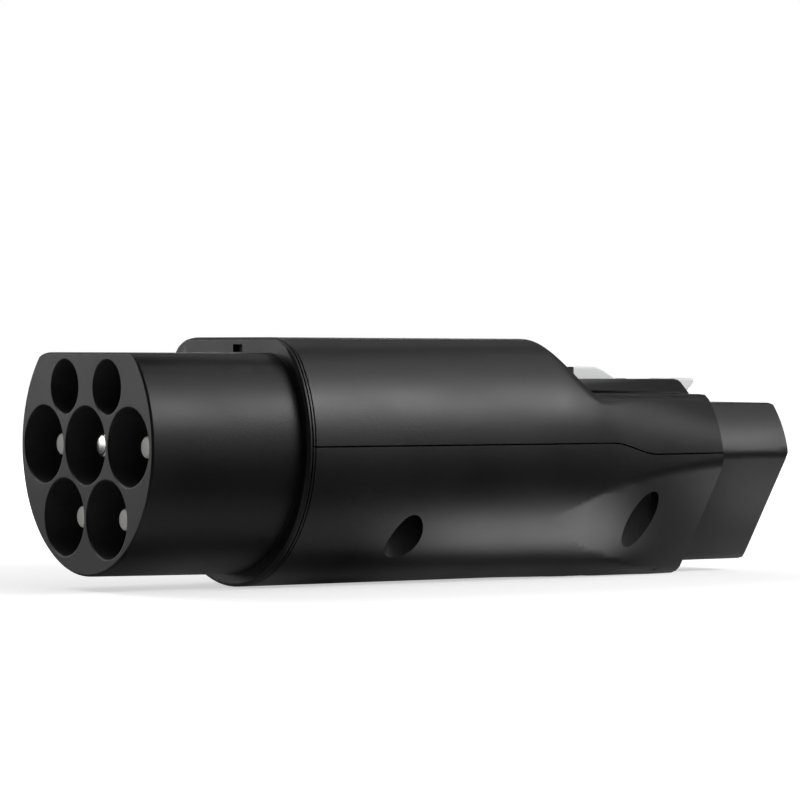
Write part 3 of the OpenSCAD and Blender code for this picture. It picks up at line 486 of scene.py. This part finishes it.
def exact_skin(piece, section_at, near=0.12, alike=32, longest=1.8):
    """Bakes the bevel in, cuts the skin's faces small, and lays them on the true curves.

    A face counts as skin where its corners lie nearer than near, in mm, and face
    the same way within alike, in degrees. Its edges end up no longer than longest.
    """
    rounds, most_faces = 3, 20000
    graph = bpy.context.evaluated_depsgraph_get()
    mesh = bpy.data.meshes.new_from_object(piece.evaluated_get(graph))
    piece.modifiers.clear()
    piece.data = mesh
    limit = math.cos(math.radians(alike))

    def opened():
        work = bmesh.new()
        work.from_mesh(mesh)
        work.verts.ensure_lookup_table()
        _, _, true, gap = skin_facts(mesh, section_at)
        return work, [
            face for face in work.faces
            if all(gap[point.index] < near for point in face.verts)
            and all(face.normal.dot(true[point.index]) > limit for point in face.verts)
        ]

    for _ in range(rounds):
        work, skin = opened()
        small = set(bmesh.ops.triangulate(work, faces=skin)["faces"])
        lines = [
            line for line in work.edges
            if line.link_faces and line.calc_length() > longest / 1000
            and all(face in small for face in line.link_faces)
        ] if len(small) < most_faces else []
        bmesh.ops.subdivide_edges(work, edges=lines, cuts=1, use_grid_fill=True)
        work.to_mesh(mesh)
        work.free()
    work, skin = opened()
    chosen = set(skin)
    spots, on_skin, _, _ = skin_facts(mesh, section_at)
    for point in work.verts:
        if point.link_faces and all(face in chosen for face in point.link_faces):
            point.co += Vector((on_skin[point.index] - spots[point.index]) / 1000)
    work.to_mesh(mesh)
    work.free()
    _, _, true, gap = skin_facts(mesh, section_at)
    corners = np.empty(len(mesh.loops), dtype=int)
    mesh.loops.foreach_get("vertex_index", corners)
    normals = np.empty(len(mesh.loops) * 3)
    mesh.corner_normals.foreach_get("vector", normals)
    normals = normals.reshape(-1, 3)
    face_normals = np.repeat(
        [face.normal for face in mesh.polygons],
        [len(face.vertices) for face in mesh.polygons], axis=0,
    )
    likest = np.maximum(
        np.sum(normals * true[corners], axis=1), np.sum(face_normals * true[corners], axis=1)
    )
    on_curve = (likest > limit) & (gap[corners] < near)
    normals[on_curve] = true[corners][on_curve]
    mesh.normals_split_custom_set(normals.tolist())


block_plastic = grained_plastic("block_plastic", (0.0035, 0.0035, 0.0036), 0.42, shine=0.45)
# The recess walls get a lighter copy of the block's dark colour: painted light that stands in
# for the light reaching into the recesses.
recess_painted_light = grained_plastic("recess_painted_light", (0.018, 0.018, 0.0182), 0.5)
pin_places = {
    "pe": (0, 0), "n": (18, 0), "l1": (-18, 0), "l2": (-9, -15.59), "l3": (9, -15.59),
    "cp": (9, 12.55), "pp": (-9, 12.55),
}
power_recess_r, signal_recess_r = 8.4, 5.8
recess_mouth, recess_floor = 0.2, 32
block_r, block_growth, block_long = 28, 0.45, 36.6
block_flat, block_edge_r, unused_edge_r = 20, 10, 5


def in_recess(x, y, z):
    """Whether a place in mm lies inside one of the seven recesses."""
    return recess_mouth < x < recess_floor and any(
        math.hypot(y - pin_y, z - pin_z) < (
            signal_recess_r if pin in ("cp", "pp") else power_recess_r)
        for pin, (pin_y, pin_z) in pin_places.items()
    )


def block_section(x):
    """The section of the round block, which grows a little towards the flange."""
    radius = block_r + block_growth * x / block_long
    same = np.ones_like(x)
    return [
        radius, 0 * same, block_flat * same, radius, radius,
        block_edge_r * same, unused_edge_r * same, unused_edge_r * same,
    ]


block_piece = dressed("plug_block", block_plastic, 0.0001)
paint_inside(block_piece, recess_painted_light, in_recess)
exact_skin(block_piece, block_section, near=0.03, alike=12, longest=2.5)


# Seven pins stand in the recesses. They are turned from copper alloy and
# silver plated. The earth pin has a bare domed tip and is the longest.
def turned_metal(name, colour, roughness, ring_pitch=0.00022, ring_depth=0.08):
    """Plated metal with the faint rings that a lathe tool leaves round its axis."""
    made, made_nodes, made_links = node_tree(name)
    # A band texture repeats every 0.314 / scale.
    wave_length = 0.314
    place = new_node(made_nodes, "ShaderNodeTexCoord")
    rings = new_node(made_nodes, "ShaderNodeTexWave", {
        "Scale": wave_length / ring_pitch, "Distortion": 1.5,
    }, bands_direction="X")
    cloud = new_node(made_nodes, "ShaderNodeTexNoise", {"Scale": 350, "Detail": 4})
    relief = new_node(made_nodes, "ShaderNodeBump", {
        "Strength": ring_depth, "Distance": 0.00003,
    })
    gloss = new_node(made_nodes, "ShaderNodeMapRange", {
        "To Min": roughness * 0.7, "To Max": roughness * 1.5,
    })
    ramp = new_node(made_nodes, "ShaderNodeValToRGB")
    darker, lighter = ramp.color_ramp.elements
    darker.color = (*[c * 0.82 for c in colour], 1)
    lighter.color = (*colour, 1)
    shader = new_node(made_nodes, "ShaderNodeBsdfPrincipled", {"Metallic": 1})
    out = new_node(made_nodes, "ShaderNodeOutputMaterial")
    link_all(
        made_links,
        (place.outputs["Object"], rings.inputs["Vector"]),
        (place.outputs["Object"], cloud.inputs["Vector"]),
        (rings.outputs["Fac"], relief.inputs["Height"]),
        (cloud.outputs["Fac"], gloss.inputs["Value"]),
        (cloud.outputs["Fac"], ramp.inputs["Fac"]),
        (ramp.outputs["Color"], shader.inputs["Base Color"]),
        (gloss.outputs["Result"], shader.inputs["Roughness"]),
        (relief.outputs["Normal"], shader.inputs["Normal"]),
        (shader.outputs[0], out.inputs["Surface"]),
    )
    return made


silver_plate = turned_metal("silver_plate", (0.86, 0.86, 0.84), 0.16, ring_depth=0.02)
for pin in ("pin_l1", "pin_l2", "pin_l3", "pin_n", "pin_pe", "pin_cp", "pin_pp"):
    dressed(pin, silver_plate, 0.00006)


# Four plastic caps sit on the tips of the live pins and of the neutral pin, so
# that a finger in a recess can't reach the metal. They are a warm grey nylon.
cap_plastic = grained_plastic("cap_plastic", (0.52, 0.51, 0.46), 0.42, 0.15)
for cap in ("tip_cap_l1", "tip_cap_l2", "tip_cap_l3", "tip_cap_n"):
    dressed(cap, cap_plastic)


# A thin gasket lies between the flange and the shell, and a seal round the
# root of the nose. Both are cut or moulded from soft black silicone rubber.
soft_rubber = grained_plastic("soft_rubber", (0.011, 0.011, 0.012), 0.72, 0.35, 0.00035)
dressed("flange_gasket", soft_rubber)
dressed("nose_seal", soft_rubber, 0.0001)


# The two halves of the shell are moulded from flame-proof nylon, with a fine
# spark-eroded texture. They meet on a line that steps down towards the nose,
# where their outer lips stand a little apart and leave a dark seam.
shell_end = 154.95
shoulder_from, shoulder_long, taper_long, taper_ease = shell_end - 50.5, 13.5, 51, 0.25
seam_from, seam_long, seam_drop = shell_end - 35.8, 14, -2.7
round_front = (31.26, 0, 23.4, 31.26, 31.26, 13.2, 5, 5)
rear_shield = (26.1, -6.84, 10.8, 24.5, 31.26, 3, 5, 5)


def smooth_share(x, start, length):
    """How far a smooth change has got at x, from 0 to 1."""
    share = np.clip((x - start) / length, 0, 1)
    return share * share * (3 - 2 * share)


def shell_section(x):
    """The eight values of the shell's section at x, as the part's source gives them."""
    u = np.maximum((x - shell_end) / taper_long + 1, 0)
    taper = np.where(
        u < taper_ease, u * u / (2 * taper_ease * (1 - taper_ease / 2)),
        (u - taper_ease / 2) / (1 - taper_ease / 2),
    )
    fall = smooth_share(x, shoulder_from, shoulder_long)
    shares = (taper, taper, fall, taper, taper, np.maximum(fall, taper), taper, taper)
    return [a + (b - a) * share for a, b, share in zip(round_front, rear_shield, shares)]


def open_seam(piece, way, half_gap=0.17, near=0.05, lip=0.35):
    """Draws the outer lip of one half back from the joint, so that a dark line shows."""
    spots, x, angle = round_pole(piece.data)
    gap = np.linalg.norm(spots - skin_place(shell_section, x, angle), axis=1)
    seam = seam_drop * smooth_share(x, seam_from, seam_long)
    on_lip = (np.abs(spots[:, 2] - seam) < near) & (gap < lip)
    for index in np.flatnonzero(on_lip):
        piece.data.vertices[int(index)].co.z += way * half_gap / 1000
    weights = piece.data.attributes["bevel_weight_edge"].data
    for line in piece.data.edges:
        if on_lip[line.vertices[0]] and on_lip[line.vertices[1]]:
            weights[line.index].value = 0


shell_plastic = grained_plastic("shell_plastic", (0.003, 0.003, 0.0031), 0.4, 0.3)
# The screw wells keep the shell's colour with a duller, weaker reflection inside: painted
# shade that darkens them.
well_painted_shade = grained_plastic("well_painted_shade", (0.003, 0.003, 0.0031), 0.5, shine=0.25)
wells = ((66.8, 23.1, -5), (133.55, 21.5, -7.7))
well_r, well_top = 4.25, -2


def in_well(x, y, z):
    """Whether a place in mm lies inside one of the four screw wells."""
    return z < well_top and any(
        math.hypot(x - well_x, abs(y) - well_y) < well_r for well_x, well_y, _ in wells
    )


for half, way in (("upper_shell", 1), ("lower_shell", -1)):
    half_piece = dressed(half, shell_plastic, 0.0001)
    paint_inside(half_piece, well_painted_shade, in_well)
    open_seam(half_piece, way)
    exact_skin(half_piece, shell_section)


# The nose is the insulator that goes into the car: a shield-shaped block with
# five bores, in the same nylon as the front block.
nose_plastic = grained_plastic("nose_plastic", (0.0065, 0.0065, 0.0066), 0.44)
nose_values = (24.6, -7.75, 8.7, 21.9, 28.4, 1.2, 2.2, 2.4)


def nose_section(x):
    """The nose keeps one section from end to end."""
    return [value * np.ones_like(x) for value in nose_values]


exact_skin(dressed("nose_block", nose_plastic, 0.00012), nose_section)


# Five sockets lie in the nose. Each is turned from brass, silver plated over
# nickel, and two crossed slits let its front end spring open round a pin.
plated_brass = turned_metal("plated_brass", (0.78, 0.68, 0.45), 0.2)
for socket in ("socket_l", "socket_n", "socket_pe", "socket_cp", "socket_pp"):
    dressed(socket, plated_brass, 0.00005)


# Two plates inside the shell hold the collars of the pins and of the sockets
# in their seats. They are moulded in a harder, slightly glossier nylon.
carrier_plastic = grained_plastic("carrier_plastic", (0.06, 0.06, 0.065), 0.38)
dressed("pin_carrier", carrier_plastic, 0.00015)
dressed("nose_carrier", carrier_plastic, 0.00015)


# Zinc-plated steel screws close the shell and hold the two plates and the
# board. Each has a rolled thread, a pan head and a hexagon recess, and the
# shell screws go in from below, at the bottom of four wells.
zinc_steel = turned_metal("zinc_steel", (0.55, 0.56, 0.58), 0.3, 0.0004, 0.2)


def at(x, y, z):
    """A place given in mm from the front face, the middle plane and the pins' axis."""
    return cad_box[0].x + x / 1000, y / 1000, axis_height + z / 1000


screw_measures = (
    "Shank Radius", "Length", "Head Radius", "Head Height",
    "Pitch", "Socket Radius", "Socket Depth",
)


def screw_tree():
    """A screw on every point: shank, thread ridge, and a head with its recess."""
    tree = bpy.data.node_groups.new("screw", "GeometryNodeTree")
    sockets = tree.interface
    sockets.new_socket("Geometry", in_out="INPUT", socket_type="NodeSocketGeometry")
    for measure in screw_measures:
        sockets.new_socket(measure, in_out="INPUT", socket_type="NodeSocketFloat")
    sockets.new_socket("Turn", in_out="INPUT", socket_type="NodeSocketVector")
    sockets.new_socket("Finish", in_out="INPUT", socket_type="NodeSocketMaterial")
    sockets.new_socket("Geometry", in_out="OUTPUT", socket_type="NodeSocketGeometry")
    make, link = tree.nodes.new, tree.links.new
    given, result = make("NodeGroupInput").outputs, make("NodeGroupOutput")

    def maths(operation, first, second):
        node = make("ShaderNodeMath")
        node.operation = operation
        for socket, value in zip(node.inputs, (first, second)):
            if isinstance(value, float):
                socket.default_value = value
            else:
                link(value, socket)
        return node.outputs[0]

    def raised(shape, height):
        shift = make("ShaderNodeCombineXYZ")
        link(height, shift.inputs["Z"])
        node = make("GeometryNodeTransform")
        link(shape, node.inputs["Geometry"])
        link(shift.outputs[0], node.inputs["Translation"])
        return node.outputs[0]

    def round_bar(radius, height, sides, middle):
        node = make("GeometryNodeMeshCylinder")
        node.inputs["Vertices"].default_value = sides
        link(radius, node.inputs["Radius"])
        link(height, node.inputs["Depth"])
        return raised(node.outputs["Mesh"], middle)

    root_share, ridge_share, thread_share, thread_start = 0.8, 0.14, 0.9, 0.07
    shank_sides, head_sides, recess_sides = 24, 32, 6
    threaded = maths("MULTIPLY", given["Length"], thread_share)
    shank = round_bar(
        maths("MULTIPLY", given["Shank Radius"], root_share), given["Length"], shank_sides,
        maths("MULTIPLY", given["Length"], 0.5),
    )
    spiral = make("GeometryNodeCurveSpiral")
    spiral.inputs["Resolution"].default_value = 16
    link(maths("DIVIDE", threaded, given["Pitch"]), spiral.inputs["Rotations"])
    for end in ("Start Radius", "End Radius"):
        link(maths("MULTIPLY", given["Shank Radius"], 1 - ridge_share), spiral.inputs[end])
    link(threaded, spiral.inputs["Height"])
    ridge = make("GeometryNodeCurvePrimitiveCircle")
    ridge.inputs["Resolution"].default_value = 4
    link(maths("MULTIPLY", given["Shank Radius"], ridge_share), ridge.inputs["Radius"])
    thread = make("GeometryNodeCurveToMesh")
    thread.inputs["Fill Caps"].default_value = True
    link(spiral.outputs[0], thread.inputs["Curve"])
    link(ridge.outputs[0], thread.inputs["Profile Curve"])
    head = round_bar(
        given["Head Radius"], given["Head Height"], head_sides,
        maths("MULTIPLY", given["Head Height"], -0.5),
    )
    recess = round_bar(
        given["Socket Radius"], given["Socket Depth"], recess_sides,
        maths("MULTIPLY", given["Head Height"], -1.0),
    )
    cut = make("GeometryNodeMeshBoolean")
    cut.operation = "DIFFERENCE"
    cut.solver = "EXACT"
    link(head, cut.inputs["Mesh 1"])
    link(recess, cut.inputs["Mesh 2"])
    whole = make("GeometryNodeJoinGeometry")
    link(shank, whole.inputs[0])
    raised_thread = raised(thread.outputs[0], maths("MULTIPLY", given["Length"], thread_start))
    link(raised_thread, whole.inputs[0])
    link(cut.outputs["Mesh"], whole.inputs[0])
    spread = make("GeometryNodeInstanceOnPoints")
    link(given["Geometry"], spread.inputs["Points"])
    link(whole.outputs[0], spread.inputs["Instance"])
    link(given["Turn"], spread.inputs["Rotation"])
    real = make("GeometryNodeRealizeInstances")
    paint = make("GeometryNodeSetMaterial")
    link(spread.outputs[0], real.inputs[0])
    link(real.outputs[0], paint.inputs[0])
    link(given["Finish"], paint.inputs["Material"])
    link(paint.outputs[0], result.inputs[0])
    return tree


def grown(seed_mesh, tree, values):
    """Runs a tree on a seed mesh and gives back the plain mesh that comes out."""
    seed = bpy.data.objects.new("seed", seed_mesh)
    scene.collection.objects.link(seed)
    modifier = seed.modifiers.new("tree", "NODES")
    modifier.node_group = tree
    for socket in tree.interface.items_tree:
        if socket.in_out == "INPUT" and socket.name in values:
            modifier[socket.identifier] = values[socket.name]
    graph = bpy.context.evaluated_depsgraph_get()
    made = bpy.data.meshes.new_from_object(seed.evaluated_get(graph))
    bpy.data.objects.remove(seed)
    return made


screws = screw_tree()
quarter = math.pi / 2
carrier_screw = (1.15, 9, 2.4, 1.6, 0.8, 1.2, 1.8)
screw_groups = {
    "shell_screws": (
        [(x, side * y, z) for x, y, z in wells for side in (-1, 1)],
        (1.5, 16, 3.4, 2.4, 1.1, 1.6, 2.8), (0.0, 0.0, 0.0),
    ),
    "pin_carrier_screws": (
        [(47.8, 19.45, -13.12), (47.8, -19.45, -13.12), (47.8, 0, 14.6)],
        carrier_screw, (0.0, -quarter, 0.0),
    ),
    "nose_carrier_screws": (
        [(141.2, 0, 2.5), (141.2, 0, -11.5)], carrier_screw, (0.0, quarter, 0.0),
    ),
    "board_screws": (
        [(125.6, 0, -1.4), (136.8, 0, -1.4)],
        (0.9, 5.6, 1.8, 1.1, 0.5, 0.8, 1.2), (0.0, 0.0, 0.0),
    ),
}
for group, (seats, sizes, turn) in screw_groups.items():
    points = bpy.data.meshes.new(group + "_seats")
    points.from_pydata([at(*seat) for seat in seats], [], [])
    inputs = {measure: size / 1000 for measure, size in zip(screw_measures, sizes)}
    inputs.update({"Turn": turn, "Finish": zinc_steel})
    screw_mesh = grown(points, screws, inputs)
    screw_mesh.shade_smooth()
    screw_mesh.set_sharp_from_angle(angle=math.radians(35))
    shown(group, screw_mesh)


# Five sleeved copper wires join the pins to the sockets, crimped into their
# barrels. Each has a core of seven twisted strands in a smooth soft sleeve, in
# the usual colours, and the earth wire is green with yellow stripes.
def sweep_tree():
    """A round section swept along every chain of edges, through smooth curves."""
    tree = bpy.data.node_groups.new("sweep", "GeometryNodeTree")
    sockets = tree.interface
    sockets.new_socket("Geometry", in_out="INPUT", socket_type="NodeSocketGeometry")
    sockets.new_socket("Radius", in_out="INPUT", socket_type="NodeSocketFloat")
    sockets.new_socket("Sides", in_out="INPUT", socket_type="NodeSocketInt")
    sockets.new_socket("Steps", in_out="INPUT", socket_type="NodeSocketInt")
    sockets.new_socket("Finish", in_out="INPUT", socket_type="NodeSocketMaterial")
    sockets.new_socket("Geometry", in_out="OUTPUT", socket_type="NodeSocketGeometry")
    make, link = tree.nodes.new, tree.links.new
    given, result = make("NodeGroupInput").outputs, make("NodeGroupOutput")
    line = make("GeometryNodeMeshToCurve")
    kind = make("GeometryNodeCurveSplineType")
    kind.spline_type = "CATMULL_ROM"
    fine = make("GeometryNodeSetSplineResolution")
    section = make("GeometryNodeCurvePrimitiveCircle")
    swept = make("GeometryNodeCurveToMesh")
    swept.inputs["Fill Caps"].default_value = True
    real = make("GeometryNodeRealizeInstances")
    paint = make("GeometryNodeSetMaterial")
    link(given["Geometry"], line.inputs[0])
    link(line.outputs[0], kind.inputs[0])
    link(kind.outputs[0], fine.inputs[0])
    link(given["Steps"], fine.inputs["Resolution"])
    link(given["Sides"], section.inputs["Resolution"])
    link(given["Radius"], section.inputs["Radius"])
    link(fine.outputs[0], swept.inputs["Curve"])
    link(section.outputs[0], swept.inputs["Profile Curve"])
    link(swept.outputs[0], real.inputs[0])
    link(real.outputs[0], paint.inputs[0])
    link(given["Finish"], paint.inputs["Material"])
    link(paint.outputs[0], result.inputs[0])
    return tree


def swept_mesh(chains, radius, sides, steps, finish):
    """Round bars along chains of places in mm, as one plain mesh."""
    corners, edges = [], []
    for chain in chains:
        first = len(corners)
        corners += [at(*place) for place in chain]
        edges += [(first + i, first + i + 1) for i in range(len(chain) - 1)]
    line_mesh = bpy.data.meshes.new("route")
    line_mesh.from_pydata(corners, edges, [])
    made = grown(line_mesh, sweep, {
        "Radius": radius / 1000, "Sides": sides, "Steps": steps, "Finish": finish,
    })
    made.shade_smooth()
    made.set_sharp_from_angle(angle=math.radians(50))
    return made


def joined(name, meshes):
    """One mesh from several, each keeping its own material."""
    whole = bmesh.new()
    paints = []
    for part in meshes:
        first = len(whole.faces)
        whole.from_mesh(part)
        whole.faces.ensure_lookup_table()
        for face in whole.faces[first:]:
            face.material_index += len(paints)
        paints.extend(part.materials)
    mesh = bpy.data.meshes.new(name)
    whole.to_mesh(mesh)
    whole.free()
    for paint in paints:
        mesh.materials.append(paint)
    return mesh


def twisted_core(x_from, x_to, y, z, radius):
    """Seven strands: one in the middle and six wound round it."""
    pitch, count, reach = 9, 9, radius * 2 / 3
    strands = [[(x_from, y, z), (x_to, y, z)]]
    for strand in range(6):
        chain = []
        for step in range(count):
            x = x_from + (x_to - x_from) * step / (count - 1)
            angle = 2 * math.pi * (strand / 6 + x / pitch)
            chain.append((x, y + reach * math.cos(angle), z + reach * math.sin(angle)))
        strands.append(chain)
    return strands


sweep = sweep_tree()
bare_copper = turned_metal("bare_copper", (0.80, 0.42, 0.26), 0.28, 0.0005, 0.05)
wire_x = (54.6, 127.9)
core_x = ((48.3, 55.6), (126.9, 134.2))
straight_end = 6
socket_places = {
    "l": (-12, -3), "n": (12, -3), "pe": (0, -20.5), "cp": (10.2, -14.5), "pp": (-10.2, -14.5),
}
wire_ways = {
    "l": [(68, -16, 0.5), (82, -15, 0), (96, -14, -1.5), (110, -12.5, -2.5)],
    "n": [(68, 16, 0.5), (82, 15, 0), (96, 14, -1.5), (110, 12.5, -2.5)],
    "pe": [(68, 0, -1), (82, 0, -5), (96, 0, -11), (110, 0, -17)],
    "cp": [(68, 8.5, 12), (82, 7.5, 8), (96, 7, 0), (110, 8.5, -9)],
    "pp": [(68, -8.5, 12), (82, -7.5, 8), (96, -7, 0), (110, -8.5, -9)],
}
wire_looks = {
    "l": ("wire_brown", (0.12, 0.05, 0.02), 2.6, 2.1),
    "n": ("wire_blue", (0.03, 0.09, 0.38), 2.6, 2.1),
    "pe": ("wire_green_yellow", (0.10, 0.34, 0.04), 2.6, 2.1),
    "cp": ("wire_white", (0.62, 0.62, 0.58), 1.2, 0.9),
    "pp": ("wire_orange", (0.55, 0.20, 0.03), 1.2, 0.9),
}
sleeve_sides, stripe_sides = 20, 3
yellow_stripe = grained_plastic("yellow_stripe", (0.72, 0.58, 0.02), 0.4, 0.1, 0.0004)
for wire, (wire_slot, colour, sleeve_r, core_r) in wire_looks.items():
    sleeve = grained_plastic(wire + "_sleeve", colour, 0.4, 0.1, 0.0004)
    pin_yz, socket_yz = pin_places["l1" if wire == "l" else wire], socket_places[wire]
    route = [
        (wire_x[0], *pin_yz), (wire_x[0] + straight_end, *pin_yz), *wire_ways[wire],
        (wire_x[1] - straight_end, *socket_yz), (wire_x[1], *socket_yz),
    ]
    cores = twisted_core(*core_x[0], *pin_yz, core_r)
    cores += twisted_core(*core_x[1], *socket_yz, core_r)
    jacket = swept_mesh([route], sleeve_r, sides=sleeve_sides, steps=5, finish=sleeve)
    strands = swept_mesh(cores, core_r / 3, sides=8, steps=1, finish=bare_copper)
    if wire == "pe":
        jacket.materials.append(yellow_stripe)
        for face in jacket.polygons:
            if len(face.vertices) == 4 and face.index % (sleeve_sides // 2) < stripe_sides:
                face.material_index = 1
    whole_wire = joined("wire_" + wire + "_dressed", [jacket, strands])
    shown("wire_" + wire, whole_wire)


# A small circuit board with the two coding resistors hangs from posts under
# the latch. The board is glass fibre with a green mask over its copper.
board_mask = grained_plastic("board_mask", (0.02, 0.16, 0.06), 0.3, 0.1, 0.0006)
dressed("signal_board", board_mask, 0.00005)
resistor_body = grained_plastic("resistor_body", (0.04, 0.04, 0.045), 0.35)
tinned_end = turned_metal("tinned_end", (0.72, 0.72, 0.70), 0.35, 0.0004, 0.05)
resistors = dressed("board_resistors", resistor_body, 0.0001)
resistor_middle, body_reach = at(131, 0, 0)[0], 0.0025
cut_mesh = bmesh.new()
cut_mesh.from_mesh(resistors.data)
for way in (-1, 1):
    bmesh.ops.bisect_plane(
        cut_mesh, geom=[*cut_mesh.verts, *cut_mesh.edges, *cut_mesh.faces],
        plane_co=(resistor_middle + way * body_reach, 0, 0), plane_no=(1, 0, 0),
    )
for face in cut_mesh.faces:
    if abs(face.calc_center_median().x - resistor_middle) > body_reach:
        face.material_index = 1
cut_mesh.to_mesh(resistors.data)
cut_mesh.free()
resistors.data.materials.append(tinned_end)


# The latch lever rocks on a steel pin: a thumb pad in front and a hook behind.
# It is moulded from a pale, slightly cloudy plastic that lets some light in.
latch_plastic = grained_plastic(
    "latch_plastic", (0.87, 0.875, 0.875), 0.34, 0.08, 0.0004, 0.03
)
latch_shader = next(
    node for node in latch_plastic.node_tree.nodes if node.type == "BSDF_PRINCIPLED"
)
latch_shader.inputs["Subsurface Weight"].default_value = 0.25
latch_shader.inputs["Subsurface Radius"].default_value = (0.003, 0.003, 0.003)
dressed("latch_lever", latch_plastic, 0.0004, "latch")
dressed("pivot_pin", zinc_steel, 0.0001)


# A coil spring of drawn steel wire stands in a cup under the thumb pad and
# pushes it up. Its end coils lie close.
drawn_steel = turned_metal("drawn_steel", (0.50, 0.51, 0.53), 0.25, 0.0006, 0.1)
spring_x, spring_r, spring_wire = 129.2, 2.1, 0.3
spring_low, spring_high = 7.05, 11.95
spring_turns, steps_a_turn = 7, 12


def spring_height(share):
    """Close coils at both ends, and an even pitch between them."""
    close = 1 / spring_turns
    rise = min(max((share - close) / (1 - 2 * close), 0), 1)
    end_rise = 0.55
    lift = min(share / close, 1) + min(max((share - 1 + close) / close, 0), 1)
    return spring_low + end_rise * lift + (spring_high - spring_low - 2 * end_rise) * rise


coil = []
for step in range(spring_turns * steps_a_turn + 1):
    angle = 2 * math.pi * step / steps_a_turn
    coil.append((
        spring_x + spring_r * math.cos(angle), spring_r * math.sin(angle),
        spring_height(step / (spring_turns * steps_a_turn)),
    ))
coil_mesh = swept_mesh([coil], spring_wire, sides=10, steps=2, finish=drawn_steel)
spring_piece = shown("latch_spring", coil_mesh)
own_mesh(spring_piece)
